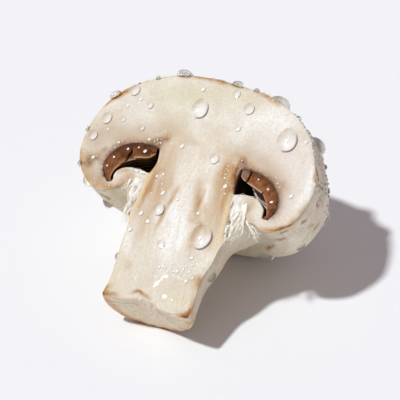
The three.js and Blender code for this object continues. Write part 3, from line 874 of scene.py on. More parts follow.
def stained(strokes):
    """The strongest stroke at each point: its strength times exp(-(distance / half width)^2)."""
    total = np.zeros(len(body_points))
    for path, half_width in strokes:
        path = np.array(path, float)
        if path.shape[1] == 3:
            path = np.insert(path, 2, 0.0, axis=1)
        path = spline(path, np.linspace(0, len(path) - 1, 10 * len(path)))
        margin = BELL_REACH * half_width
        low, high = path[:, :3].min(0) - margin, path[:, :3].max(0) + margin
        near = np.flatnonzero(((strayed > low) & (strayed < high)).all(1) & (on_face | on_skin))
        for part in np.array_split(near, len(near) // 4000 + 1):
            away = np.linalg.norm(strayed[part, None] - path[None, :, :3], axis=2)
            bell = (path[:, 3] * np.exp(-((away / half_width) ** 2))).max(1)
            total[part] = np.maximum(total[part], bell)
    return total


POTS = {
    "lemon": LEMON, "rose": ROSE, "beige": BEIGE, "white": WHITE, "tan": TAN, "gold": GOLD, "umber_and_flank_shade": UMBER_AND_FLANK_SHADE,
    "rust": RUST, "veil_edge_glow": VEIL_EDGE_GLOW, "gleam": GLEAM,
}
body_values = {name: stained(strokes) for name, strokes in POTS.items()}
print("strokes:", {name: len(strokes) for name, strokes in POTS.items()})

# %% The body's object
body_values.update({
    "mm": body_points,
    "rim": rim_distance,
    "roof": roof_distance,
    "wet": wet,
    "stem": np.where(on_face, stem_face, stem_share),
    "veil": np.where(on_face, veil_face * ease(-v, 4.4, 6.6), near_veil),
    "fibre": np.column_stack([np.where(on_face, u - lean, round_stem), v, np.zeros_like(v)]),
})
flesh = new_piece("mushroom_flesh", laid(body_shaped), body_faces, body_values, body_part)
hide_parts("flesh")
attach(flesh, "root")
print("flesh:", round(volume_of(laid(body_shaped) * 100, body_faces), 2), "cm3")

# %% [markdown]
# ## Gills
#
# More than a hundred thin plates hang from the chamber's roof, like the pages of a round book. The knife runs
# beside the stem's axis, so it crosses the plates at a shallow angle and shows their flat sides. One plate
# could be drawn and copied round the stem, but no two real ones are alike. So all of them are worked out at
# once, as one array, and each gets its own length, place and wave.

# %% The gill plates
GILLS = 124
GILL_ALONG = 26
GILL_DEEP = 7
ROOT_SUNK = CLEARANCE + 0.35
GILL_PHASE = -0.34  # turns the ring so that the knife meets a seam where the left gill has split
SPLIT_ANGLE = np.pi + np.radians(16.4)
PLATE_DEPTH = 3.0  # about how deep a plate hangs, in millimetres

# the plates run on past the drawing's last point, to where the flesh closes on them
RUN_OUT = [(17.35, -10.2), (16.45, -9.85), (17.95, -7.95), (17.3, -7.65)]
root_and_free = [line + [last] for line, last in zip(
    (GILL_ROOT_RIGHT, GILL_FREE_RIGHT, GILL_ROOT_LEFT, GILL_FREE_LEFT), RUN_OUT)]
print("gill plates:", GILLS, "of them short:", GILLS // 2)

# %% The shape of the plates
def gill_plates():
    """Every plate at once: an array over plate, station along it, and step round its section.

    The section runs down one side from the root to the free edge and up the other. A plate is thick at the
    root and thin at the free edge, and it waves a little sideways. Every second plate is short: it starts
    further out, and behind the stem it hangs less deep. The plates behind on the right hang lower, all but
    their outer ends.
    """
    number = np.arange(GILLS)[:, None, None]
    along = np.linspace(0, 1, GILL_ALONG)[None, :, None]
    down = np.concatenate([np.linspace(0, 1, GILL_DEEP), np.linspace(1, 0, GILL_DEEP)])[None, None, :]
    side = np.repeat([-1.0, 1.0], GILL_DEEP)[None, None, :]
    rng = np.random.default_rng(7)
    pitch = 2 * np.pi / GILLS
    even_angle = (number + 0.5 + GILL_PHASE) * pitch
    behind = ease(np.sin(even_angle), -0.2, 0.1)
    spread = rng.uniform(-0.14, 0.14, GILLS)[:, None, None] * mix(0.2, 1.0, behind)
    is_short = number % 2 == 1
    start = np.where(is_short, rng.uniform(0.1, 0.4, GILLS)[:, None, None], 0.0)
    place = mix(start, 1.0, along) * (len(root_and_free[0]) - 1)
    place = np.broadcast_to(place, (GILLS, GILL_ALONG, 2 * GILL_DEEP))
    shape = place.shape
    root_right, free_right, root_left, free_left = (
        spline(line, place.ravel()).reshape(*shape, 2) for line in root_and_free)
    sink = ROOT_SUNK / PLATE_DEPTH
    full = np.where(is_short, ease(along, -0.02, 0.25) * 0.95, 1.0)
    full = full * np.where(is_short, mix(1.0, 0.85, behind), 1.0)
    lower = ease(np.sin(even_angle), 0.0, 0.4) * ease(np.cos(even_angle), -0.2, 0.6)
    full = full * (1 + 0.5 * lower * ease(1 - along, 0.05, 0.3))
    share = (-sink + (full + sink) * down)[..., None]
    right, left = mix(root_right, free_right, share), mix(root_left, free_left, share)
    depth = axis_depth((right[..., 1] + left[..., 1]) / 2)
    middle_angle = even_angle + spread * pitch
    wave = rng.uniform(0, 2 * np.pi, GILLS)[:, None, None]
    sway = 0.10 * down * np.sin(9 * along + wave) + 0.05 * np.sin(23 * along + 3 * wave)
    sway = sway * mix(0.25, 1.0, behind)
    split = hump(middle_angle, SPLIT_ANGLE, pitch)
    free_share = mix(0.49 - 0.1 * split, 0.18, behind)
    thick = mix(mix(0.5, 0.42, behind), free_share, down**1.3) * pitch
    lip = np.where(down > 0.99, 0.7, 1.0)
    angle = middle_angle + sway * pitch + side * thick * lip
    points = swing(right, left, angle, depth)
    deep = np.broadcast_to(down * full, shape)
    return points, deep, np.broadcast_to(number, shape)


gill_points, gill_deep, gill_number = gill_plates()
print("gill points:", gill_points.shape)

# %% The faces of the plates
def tube_faces(count, stations, steps):
    """The faces of closed tubes, flat plates among them: quads round the sides and over both ends."""
    index = np.arange(count * stations * steps).reshape(count, stations, steps)
    following = np.roll(index, -1, 2)
    sides = np.stack([index[:, :-1], index[:, 1:], following[:, 1:], following[:, :-1]], -1).reshape(-1, 4)
    low = np.arange(steps // 2 - 1)
    high = steps - 1 - low
    ends = []
    for station, is_last in ((0, False), (stations - 1, True)):
        ring = index[:, station]
        corners = [ring[:, low], ring[:, low + 1], ring[:, high - 1], ring[:, high]]
        quads = np.stack(corners, -1).reshape(-1, 4)
        ends.append(quads[:, ::-1] if is_last else quads)
    return np.concatenate([sides, *ends])


gill_faces = tube_faces(*gill_points.shape[:3])
gill_values = {
    "mm": gill_points.reshape(-1, 3),
    "deep": gill_deep.ravel(),
    "plate": gill_number.ravel().astype(float),
}
gills = new_piece("mushroom_gills", gill_points.reshape(-1, 3), gill_faces.tolist(), gill_values)
print("gill faces before the cut:", len(gill_faces))

# %% [markdown]
# ### Cutting the plates
#
# The plates were grown whole, all the way round. A knife leaves every plate that it meets with a clean flat
# end, so the knife's plane cuts them here too. It passes a hair's breadth behind the cut face, so that no
# plate stands proud of the flesh, and each open end is closed with a face of its own.

# %% Cut the plates where the knife passed
CUT_SETBACK = 0.05
SHARP_FROM = np.radians(50)
work = bmesh.new()
work.from_mesh(gills.data)
bmesh.ops.recalc_face_normals(work, faces=work.faces)
bmesh.ops.bisect_plane(work, geom=work.verts[:] + work.edges[:] + work.faces[:], dist=1e-6,
                       plane_co=(0, 0, -CUT_SETBACK), plane_no=(0, 0, 1), clear_outer=True)
open_edges = [edge for edge in work.edges if edge.is_boundary]
bmesh.ops.holes_fill(work, edges=open_edges, sides=0)
bmesh.ops.triangulate(work, faces=[face for face in work.faces if len(face.verts) > 4])
work.to_mesh(gills.data)
work.free()
flat = np.empty(len(gills.data.vertices) * 3, np.float32)
gills.data.vertices.foreach_get("co", flat)
gills.data.vertices.foreach_set("co", laid(flat.reshape(-1, 3).astype(float)).astype(np.float32).ravel())
gills.data.update()
gills.data.set_sharp_from_angle(angle=SHARP_FROM)
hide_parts("gills")
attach(gills, "root")
print("gills:", len(gills.data.polygons), "faces")

# %% [markdown]
# ## The torn veil
#
# The veil is the thin white skin that once closed the gills off. The knife and the growing cap tore it, and
# it hangs beside the stem in flaps and threads, with crumpled rolls along the lower edge of both openings. A
# torn film curls up as it dries, so each of them is one flattened, tapering tube along a bent path rather
# than a sheet. The flaps and rolls stand where they are listed. The threads grow from them with random
# lengths and turns, and those that would hang in front of the gills are left out.

# %% Flaps and rolls
FLAPS = [  # root, tip and width
    ((10.6, -6.2), (11.0, -12.8), 2.5), ((10.9, -6.2), (11.0, -13.4), 2.3),
    ((11.9, -7.4), (12.0, -13.6), 2.1), ((10.9, -9.0), (10.9, -14.4), 1.7),
    ((-11.3, -6.2), (-11.9, -11.6), 2.4), ((9.4, -6.4), (9.6, -14.8), 1.0), ((9.8, -12.4), (9.9, -15.5), 1.1),
    ((10.7, -12.6), (11.1, -15.3), 1.2), ((13.3, -10.8), (15.7, -14.0), 0.8),
    ((12.4, -10.2), (12.7, -14.6), 0.7), ((14.6, -11.8), (16.2, -13.4), 0.5),
    ((-11.0, -6.2), (-11.9, -13.6), 1.7), ((-12.3, -6.3), (-12.6, -10.2), 1.5),
    ((-11.6, -9.0), (-12.1, -14.8), 1.3), ((9.5, -6.35), (12.6, -6.3), 1.0),
    ((11.9, -6.3), (14.5, -7.2), 0.8), ((-9.9, -4.95), (-12.7, -4.5), 0.9),
    ((-12.0, -4.5), (-14.9, -4.95), 0.8), ((-13.2, -6.4), (-13.9, -8.6), 0.9),
    ((-10.6, -6.6), (-11.4, -11.4), 0.8), ((-11.3, -12.2), (-11.7, -15.6), 0.6),
]
FLAP_STATIONS, FLAP_ROUND = 22, 8
THINNESS = 0.34  # a flap's thickness as a share of its width
SWERVE = 0.05  # how far its path swings aside, as a share of its length
TWIST = 0.45  # how far it turns about its path, in radians
TIP_HALF_WIDTH = 0.02
CRUMPLE = 0.22  # how much the noise bends a flap, as a share of its half width
CRUMPLE_REACH = 0.6  # the half width past which a flap is bent no further


def shreds(root, tip, width, lift, rng):
    """Every flap at once: an array over flap, station along it, and step round its flattened section.

    The path goes from root to tip and bows out of the face by `lift` halfway. The section is an ellipse, a
    third as thick as it is wide, which tapers to the tip, twists, and is crumpled by noise.
    """
    count = len(root)
    along = np.linspace(0, 1, FLAP_STATIONS)[None, :, None]
    path = mix(root[:, None], tip[:, None], along)
    step = (tip - root)[:, None]
    length = np.linalg.norm(step, axis=2, keepdims=True)
    out = np.array([0, 0, 1.0])
    aside = np.cross(step / length, out)
    phase = rng.uniform(0, 2 * np.pi, (2, count, 1, 1))
    path = path + out * lift[:, None, None] * np.sin(np.pi * along**0.8)
    path = path + aside * SWERVE * length * (np.sin(5 * along + phase[0]) - np.sin(phase[0]))
    taper = (1 - along) ** 0.6 * (0.75 + 0.25 * np.cos(9 * along + phase[1]))
    half = np.maximum(width[:, None, None] / 2 * taper, TIP_HALF_WIDTH)
    twist = TWIST * np.sin(2.5 * along + phase[1])
    flat = aside * np.cos(twist) + out * np.sin(twist)
    thick = out * np.cos(twist) - aside * np.sin(twist)
    around = np.linspace(0, 2 * np.pi, FLAP_ROUND, endpoint=False)[None, None, :, None]
    ring = np.cos(around) * (flat * half)[:, :, None] \
        + THINNESS * np.sin(around) * (thick * half)[:, :, None]
    points = path[:, :, None] + ring
    crumple = rough(points, 0.7, 201, 2)
    return points + crumple[..., None] * CRUMPLE * np.minimum(half, CRUMPLE_REACH)[:, :, None]


# %% Threads, and the veil's object
THREADS = 280
FLAP_LIFT = 0.22  # how far a flap bows out of the cut face
OPENING_FLOOR = -5.2  # a thread whose tip is higher than this would hang in front of the gills
FLATTENED = [1, 1, 0.3]  # threads scatter less out of the face than along it

rng = np.random.default_rng(23)
flap_root = np.array([(*root, -0.5) for root, _, _ in FLAPS])
flap_tip = np.array([(*tip, -0.6) for _, tip, _ in FLAPS])
flap_width = np.array([width for _, _, width in FLAPS])
parent = rng.integers(0, len(FLAPS), THREADS)
share = rng.uniform(0.1, 1.0, (THREADS, 1))
thread_root = mix(flap_root[parent], flap_tip[parent], share) + rng.normal(0, 0.3, (THREADS, 3)) * FLATTENED
thread_step = (flap_tip - flap_root)[parent] * rng.uniform(0.15, 0.5, (THREADS, 1))
thread_step = thread_step + rng.normal(0, 0.45, (THREADS, 3)) * FLATTENED
thread_tip = thread_root + thread_step
thread_width = rng.uniform(0.1, 0.24, THREADS)
thread_lift = rng.uniform(0.12, 0.45, THREADS)
shred_points = shreds(
    np.concatenate([flap_root, thread_root]),
    np.concatenate([flap_tip, thread_tip]),
    np.concatenate([flap_width, thread_width]),
    np.concatenate([np.full(len(FLAPS), FLAP_LIFT), thread_lift]),
    rng,
)
into_opening = np.concatenate([np.zeros(len(FLAPS), bool), thread_tip[:, 1] > OPENING_FLOOR])
shred_points = shred_points[~into_opening]
shred_faces = tube_faces(*shred_points.shape[:3])
shred_mm = shred_points.reshape(-1, 3)
if volume_of(shred_mm, np.concatenate([shred_faces[:, :3], shred_faces[:, [0, 2, 3]]])) < 0:
    shred_faces = shred_faces[:, ::-1]
veil_shreds = new_piece("veil_shreds", laid(shred_mm), shred_faces, {"mm": shred_mm})
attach(veil_shreds, "root")
print("veil:", len(FLAPS), "flaps,", len(shred_points) - len(FLAPS), "threads,", len(shred_faces), "faces")

# %% [markdown]
# ## Materials
#
# Every material here is wired from a few kinds of node, so a small helper class gives each of them a short
# word. A material reads the numbers that were kept on the mesh: the place in the drawing in millimetres, and
# the distances to the rim, to the gills and to the stem's edges.

# %% Short words for nodes
def srgb(red, green, blue):
    """A colour from 0 to 255 as the eye sees it, in the linear numbers that a shader takes."""
    c = np.array([red, green, blue]) / 255
    linear = np.where(c <= 0.04045, c / 12.92, ((c + 0.055) / 1.055) ** 2.4)
    return (*linear.tolist(), 1.0)


class Wiring:
    """One material under construction. Each method adds a node and returns its output socket."""

    def __init__(self, name):
        self.material = bpy.data.materials.new(name)
        self.material.use_nodes = True
        self.tree = self.material.node_tree
        self.tree.nodes.clear()

    def node(self, kind, inputs=(), output=0, **settings):
        """One node: a socket given as an input is linked, and anything else is set as its value."""
        made = self.tree.nodes.new("ShaderNode" + kind)
        for key, value in settings.items():
            setattr(made, key, value)
        for key, value in dict(inputs).items():
            if isinstance(value, bpy.types.NodeSocket):
                self.tree.links.new(value, made.inputs[key])
            else:
                made.inputs[key].default_value = value
        return made.outputs[output]

    def number(self, name):
        """A kept number."""
        return self.node("Attribute", output="Fac", attribute_name=name)

    def place(self, name="mm", stretch=(1, 1, 1), offset=(0, 0, 0)):
        """A kept vector, stretched and moved."""
        vector = self.node("Attribute", output="Vector", attribute_name=name)
        return self.node("Mapping", {"Vector": vector, "Scale": stretch, "Location": offset})

    def noise(self, place, scale, detail=3.0, roughness=0.55, distortion=0.0):
        """Cloudy noise from 0 to 1; a larger scale makes it finer, and a rougher one more broken."""
        inputs = {"Vector": place, "Scale": scale, "Detail": detail, "Roughness": roughness,
                  "Distortion": distortion}
        return self.node("TexNoise", inputs, output="Fac")

    def math(self, operation, a, b=0.0, clamp=False):
        """One sum of two numbers, kept between 0 and 1 when clamped."""
        return self.node("Math", {0: a, 1: b}, operation=operation, use_clamp=clamp)

    def between(self, value, low, high, to_low=0.0, to_high=1.0):
        """An S-shaped rise from to_low at low to to_high at high."""
        return self.node("MapRange", {"Value": value, "From Min": low, "From Max": high, "To Min": to_low,
                                      "To Max": to_high}, interpolation_type="SMOOTHSTEP")

    def blend(self, share, a, b, way="MIX"):
        """Colour a where the share is 0 and colour b where it is 1."""
        return self.node("Mix", {0: share, 6: a, 7: b}, output=2, data_type="RGBA", blend_type=way)

    def times(self, *values):
        """The product of all the values."""
        return reduce(lambda total, value: self.math("MULTIPLY", total, value), values)

    def plus(self, *values):
        """The sum of all the values."""
        return reduce(lambda total, value: self.math("ADD", total, value), values)

    def frayed(self, value, noise, amount):
        """The value made uneven by noise: value + (noise - 0.5) * amount."""
        return self.plus(value, self.times(self.math("SUBTRACT", noise, 0.5), amount))

    def spot(self, place, middle, size):
        """1 in the middle of a soft round spot and 0 outside it."""
        away = self.node("VectorMath", {0: place, 1: middle}, output="Value", operation="DISTANCE")
        return self.between(away, size, size * 0.25)

    def axes(self, place):
        """The three numbers of a vector."""
        parted = self.node("SeparateXYZ", {0: place})
        return tuple(parted.node.outputs)

    def shaded(self, colour, noise, dark, light):
        """The colour made a little darker and lighter by the noise."""
        level = self.between(noise, 0.3, 0.7, dark, light)
        return self.blend(1.0, colour, self.node("CombineXYZ", {0: level, 1: level, 2: level}), "MULTIPLY")

    def bump(self, height, strength, distance):
        """The surface's direction tilted by a height; the distance is the height's size in metres."""
        return self.node("Bump", {"Height": height, "Strength": strength, "Distance": distance})

    def finish(self, **settings):
        """The Principled shader with its own sockets set by name, joined to the output."""
        shader = self.tree.nodes.new("ShaderNodeBsdfPrincipled")
        output = self.tree.nodes.new("ShaderNodeOutputMaterial")
        self.tree.links.new(shader.outputs["BSDF"], output.inputs["Surface"])
        for name, value in settings.items():
            socket = shader.inputs[name.replace("_", " ")]
            if isinstance(value, bpy.types.NodeSocket):
                self.tree.links.new(value, socket)
            else:
                socket.default_value = value
        return self.material


SOFT_GLOW = {"Subsurface_Weight": 0.25, "Subsurface_Radius": (1.0, 0.72, 0.48), "Subsurface_Scale": 0.0008}

# %% [markdown]
# ### The cut flesh
#
# Fresh flesh is cream, with a lemon tinge near the crown and a rosy one at the side, and turns beige towards
# the gills. The stem is whiter in its middle and tan towards both sides, streaked along its fibres. Each pot
# of stain is laid over the last one, broken up by grain, and on the stem by fibres, so that no edge is
# smooth. Over them lies a pale band of painted light in the veil's thin edge along the stem. The flesh is
# matt: a glossy setting would lay the lamp's pale reflection over the whole face and wash it out.

# %% Cut flesh
FACE_GAIN = (1.24, 1.25, 1.3)  # how much more light the cut face sends back here than its own colour


def seen(red, green, blue):
    """The colour that a matt surface needs so as to look like this one when it faces the lamp."""
    linear = srgb(red, green, blue)
    return (*(value / gain for value, gain in zip(linear, FACE_GAIN)), 1.0)


def cut_flesh():
    """The fresh colours first, then the stem, the veil, the cut skin, the stains, painted light along the
    stem's edges, and last the finest dust.
    """
    m = Wiring("cut_flesh")
    place = m.place()
    across, up, _ = m.axes(place)
    rim, roof, stem, veil = (m.number(name) for name in ("rim", "roof", "stem", "veil"))
    cloud = m.noise(m.place(offset=(3, 1, 0)), 0.22, 3)
    patch = m.noise(m.place(offset=(7, 2, 5)), 0.6, 3, 0.6)
    speck = m.noise(place, 1.5, 4, 0.65)
    fibre = m.noise(m.place("fibre", (0.9, 0.12, 1)), 1.0, 4, 0.6, 0.8)
    fine_fibre = m.noise(m.place("fibre", (2.8, 0.32, 1)), 1.0, 4, 0.65, 0.6)
    grain = m.blend(m.times(stem, 0.6), m.between(speck, 0.32, 0.68), m.between(fine_fibre, 0.34, 0.66))
    strand = m.blend(m.times(stem, 0.75), m.between(patch, 0.34, 0.66), m.between(fibre, 0.36, 0.64))

    def laid_on(colour, name, pot, share, broken):
        """One pot's strokes over the colour so far; `broken` is how far grain and strands break them up."""
        texture = m.plus(m.times(grain, 1.2 * broken), m.times(strand, 0.8 * broken), 1.0 - broken)
        strength = m.math("MULTIPLY", m.times(m.number(name), texture), share, clamp=True)
        return m.blend(strength, colour, pot)

    # the cap: cream with broad washes
    colour = m.blend(m.between(cloud, 0.36, 0.64), seen(231, 219, 202), seen(241, 235, 223))
    colour = laid_on(colour, "lemon", seen(227, 218, 192), 0.85, 0.15)
    colour = laid_on(colour, "rose", seen(239, 228, 220), 0.8, 0.2)
    colour = laid_on(colour, "beige", seen(206, 185, 163), 0.9, 0.2)

    # the stem: cream strands, cooler in its lower half, with the same washes thinner
    colour = m.blend(m.times(stem, 0.6), colour, m.blend(strand, seen(231, 216, 195), seen(239, 229, 214)))
    lower = m.times(stem, m.between(m.plus(up, m.times(patch, 4.0)), -14, -20))
    colour = m.blend(m.times(lower, 0.6), colour, m.blend(strand, seen(232, 222, 206), seen(236, 228, 214)))
    colour = laid_on(colour, "lemon", seen(230, 219, 194), m.times(lower, 0.8), 0.3)
    colour = laid_on(colour, "beige", seen(222, 209, 190), m.times(lower, 0.7), 0.3)
    colour = laid_on(colour, "white", seen(253, 251, 248), 1.0, 0.4)
    colour = m.blend(m.times(stem, m.between(fine_fibre, 0.56, 0.72), 0.65), colour, seen(252, 246, 236))
    colour = m.blend(m.times(stem, m.between(fine_fibre, 0.44, 0.3), 0.4), colour, seen(210, 184, 146))

    # the torn veil: yellower at the left than at the right
    to_right = m.between(across, -5, 5)
    veil_dark = m.blend(to_right, seen(216, 198, 170), seen(234, 222, 204))
    veil_light = m.blend(to_right, seen(246, 238, 222), seen(255, 252, 246))
    colour = m.blend(m.times(veil, 0.95), colour, m.blend(patch, veil_dark, veil_light))

    # the cut skin: a thin line of its own, golden at the left and pale at the right
    at_left = m.times(m.between(across, 10, -4), m.between(up, -16, -11, 0.25, 1.0))
    skin_line = m.blend(at_left, seen(240, 230, 214), seen(208, 170, 120))
    near_skin = m.between(m.frayed(rim, speck, 0.5), 0.5, 0.1)
    colour = m.blend(m.times(near_skin, m.between(strand, 0.1, 0.8, 0.25, 0.8)), colour, skin_line)

    # the stains, from the palest to the darkest, with the flesh that the gills stain in between;
    # then a band of painted light in the veil's thin edge along the stem
    colour = laid_on(colour, "tan", seen(194, 149, 92), 0.95, 0.45)
    colour = laid_on(colour, "gold", seen(182, 126, 58), 0.95, 0.4)
    colour = laid_on(colour, "umber_and_flank_shade", seen(112, 74, 52), 1.05, 0.6)
    ragged_roof = m.frayed(roof, speck, 1.6)
    colour = m.blend(m.times(m.between(ragged_roof, 1.8, 0.3), 0.4), colour, seen(150, 112, 86))
    colour = m.blend(m.times(m.between(ragged_roof, 0.6, 0.0), 0.85), colour, seen(92, 58, 40))
    colour = laid_on(colour, "rust", seen(124, 62, 14), 1.1, 0.3)
    # painted light in the veil's thin edge along the stem's sides
    colour = laid_on(colour, "veil_edge_glow", seen(240, 212, 166), 0.9, 0.3)

    dust = m.noise(place, 3.2, 2, 0.6)
    colour = m.shaded(m.shaded(colour, speck, 0.94, 1.05), dust, 0.95, 1.045)

    # the relief is softer and the gloss stronger where the flesh is wet
    gleam = m.number("gleam")
    jagged = m.frayed(gleam, m.noise(place, 2.4, 2), 1.1)
    gloss = m.times(m.between(jagged, 0.42, 0.56), m.between(gleam, 0.1, 0.3))
    height = m.plus(m.times(speck, 0.6), m.times(fine_fibre, stem))
    height = m.times(height, m.between(m.number("wet"), 0, 1, 1.0, 0.3))
    return m.finish(Base_Color=colour, Roughness=0.75, Specular_IOR_Level=0.08, Coat_Weight=gloss,
                    Coat_Roughness=0.12, Normal=m.bump(height, 0.45, 0.00016), **SOFT_GLOW)


# %% [markdown]
# ### Skin, chamber and gills
#
# The skin is paler and drier than the flesh, drawn out in fine fibres from the crown to the margin, with a
# few brown grazes and painted shade along its right flank. The chamber's wall is painted dark inwards, as
# shade. The gills are moist and reddish brown, darkest at the root and in the seams between plates, with a
# pale line along the free edge. A gill's colour follows two numbers that its mesh keeps, how deep a point
# hangs and which plate it is on, so the pale line stays on the edge of every plate. On the plates behind the
# cut, light and shade are painted: every second plate's free edge is painted lit, the rest painted in shadow.

# %% Skin
def cap_skin():
    """Cream with fibres, the veil's grey scar, a tan stem, a pale cut end; stains, painted flank shade,
    flecks.
    """
    m = Wiring("skin")
    place = m.place()
    _, up, depth = m.axes(place)
    fibre = m.noise(m.place("fibre", (1.6, 0.16, 1)), 1.0, 4, 0.6, 0.4)
    cloud = m.noise(place, 0.3, 4, 0.6)
    speck = m.noise(place, 2.2, 4, 0.65)
    fleck = m.noise(m.place(offset=(4, 8, 1)), 1.3, 4, 0.7)
    colour = m.blend(m.between(cloud, 0.38, 0.62), srgb(230, 217, 190), srgb(243, 234, 214))
    colour = m.blend(m.times(m.between(fibre, 0.52, 0.74), 0.3), colour, srgb(204, 182, 148))
    scar = m.blend(speck, srgb(198, 186, 156), srgb(231, 222, 200))
    colour = m.blend(m.times(m.number("veil"), 0.7), colour, scar)
    down_stem = m.times(m.number("stem"), m.between(depth, -1, -8, 0.3, 0.9))
    colour = m.blend(down_stem, colour, srgb(216, 196, 166))
    cut_end = m.blend(speck, srgb(222, 203, 172), srgb(243, 230, 207))
    colour = m.blend(m.times(m.between(up, -31.0, -31.8), 0.9), colour, cut_end)
    broken = m.between(speck, 0.3, 0.66, 0.6, 1.2)
    tan = m.math("MULTIPLY", m.number("tan"), broken, clamp=True)
    gold = m.math("MULTIPLY", m.number("gold"), broken, clamp=True)
    rust = m.math("MULTIPLY", m.number("rust"), m.times(broken, 1.7), clamp=True)
    # on the skin these strokes are mostly painted shade along the right flank
    colour = m.blend(m.number("umber_and_flank_shade"), colour, srgb(158, 140, 120))
    colour = m.blend(tan, colour, srgb(200, 170, 118))
    colour = m.blend(gold, colour, srgb(200, 140, 62))
    colour = m.blend(rust, colour, srgb(164, 104, 30))
    colour = m.blend(m.times(m.between(fleck, 0.68, 0.74), 0.4), colour, srgb(184, 138, 84))
    colour = m.blend(m.times(m.between(fleck, 0.36, 0.3), 0.5), colour, srgb(250, 246, 236))
    colour = m.shaded(colour, speck, 0.86, 1.08)
    height = m.plus(fibre, m.times(speck, 0.8))
    return m.finish(Base_Color=colour, Roughness=m.between(speck, 0.3, 0.7, 0.45, 0.68),
                    Specular_IOR_Level=0.35, Normal=m.bump(height, 0.6, 0.00018), **SOFT_GLOW)


# %% Chamber wall
def chamber_wall():
    """Brown at the mouth, darkening to nearly black a millimetre further in: painted shade of the hollow."""
    m = Wiring("chamber_wall")
    place = m.place()
    depth = m.axes(place)[2]
    speck = m.noise(place, 2.0, 3)
    # painted shade: the wall darkens from brown to nearly black with depth into the hollow
    colour = m.blend(m.between(depth, -0.1, -0.9), srgb(150, 106, 62), srgb(34, 20, 13))
    colour = m.blend(m.times(m.between(speck, 0.4, 0.7), 0.4), colour, srgb(60, 38, 26))
    return m.finish(Base_Color=colour, Roughness=0.6, Specular_IOR_Level=0.2,
                    Normal=m.bump(speck, 0.5, 0.0002))


# %% Gills
def gill_flesh():
    """Brown plates, dark at the root and pale at the free edge, with painted light and shade behind the cut.
    """
    m = Wiring("gill")
    place = m.place()
    across, _, depth = m.axes(place)
    deep, plate = m.number("deep"), m.number("plate")
    streak = m.noise(m.place("mm", (2.2, 0.7, 2.2)), 1.0, 4, 0.6, 0.5)
    blotch = m.noise(place, 0.8, 4, 0.6)
    speck = m.noise(place, 2.4, 3, 0.65)
    tone = m.node("TexWhiteNoise", {"W": plate}, output="Value", noise_dimensions="1D")
    to_right = m.between(across, -10, 10)

    def both(left, right):
        """One colour for the left gill and another for the right one."""
        return m.blend(to_right, seen(*left), seen(*right))

    # the cut plates
    dark, light = both((84, 42, 18), (116, 62, 32)), both((134, 80, 42), (168, 110, 68))
    colour = m.blend(m.between(blotch, 0.35, 0.65), dark, light)
    colour = m.blend(m.times(tone, 0.15), colour, seen(84, 46, 24))
    colour = m.blend(m.times(m.between(streak, 0.42, 0.7), 0.4), colour, seen(88, 48, 26))
    root = m.between(m.frayed(deep, speck, 0.35), 0.42, 0.1)
    colour = m.blend(m.times(root, 0.7), colour, seen(84, 50, 34))
    near_edge = m.times(m.between(deep, 0.66, 0.92), 0.45)
    colour = m.blend(near_edge, colour, both((172, 122, 80), (174, 124, 88)))
    edge = m.times(m.between(deep, 0.86, 0.97), 0.85)
    colour = m.blend(edge, colour, both((206, 164, 122), (208, 174, 144)))

    # a worn place on the left gill, and the grey stump beside the stem on the right
    worn = m.spot(place, (-18.6, -4.2, 0.0), 3.6)
    colour = m.blend(m.times(worn, m.between(streak, 0.3, 0.6), 0.5), colour, seen(164, 108, 68))
    stump = m.spot(place, (9.6, -1.4, 0.0), 2.0)
    colour = m.blend(m.times(stump, 0.7), colour, m.blend(speck, seen(92, 74, 62), seen(176, 156, 140)))

    # the plates behind the cut: painted light on every second plate's free edge, painted shade on the rest
    lit_every_second_plate = m.between(m.math("MODULO", plate, 2.0), 0.9, 0.1)
    right_edge = m.blend(lit_every_second_plate, srgb(128, 98, 82), srgb(226, 200, 178))
    free_edge = m.blend(to_right, srgb(150, 108, 70), right_edge)
    # painted shade on the sides of the plates inside the chamber
    shadowed = m.blend(to_right, srgb(58, 36, 24), srgb(110, 80, 66))
    behind = m.blend(m.between(deep, 0.93, 0.985), shadowed, free_edge)
    colour = m.blend(m.between(depth, -0.5, -1.6), colour, behind)
    return m.finish(Base_Color=colour, Roughness=0.6, Specular_IOR_Level=0.06,
                    Normal=m.bump(streak, 0.25, 0.00015), Subsurface_Weight=0.1,
                    Subsurface_Radius=(1.0, 0.5, 0.3), Subsurface_Scale=0.0005)


# %% Torn veil
def torn_veil():
    """Matt cream with paler specks."""
    m = Wiring("veil")
    place = m.place()
    speck = m.noise(place, 1.8, 4, 0.65)
    colour = m.blend(m.between(speck, 0.3, 0.5), srgb(224, 211, 188), srgb(240, 233, 219))
    return m.finish(Base_Color=colour, Roughness=0.9, Specular_IOR_Level=0.05,
                    Normal=m.bump(speck, 0.5, 0.0002), **SOFT_GLOW)


veil_shreds.data.materials.append(torn_veil())
for finish in (cap_skin(), chamber_wall(), cut_flesh()):
    flesh.data.materials.append(finish)
gills.data.materials.append(gill_flesh())
print("finishes on the flesh:", [finish.name for finish in flesh.data.materials])
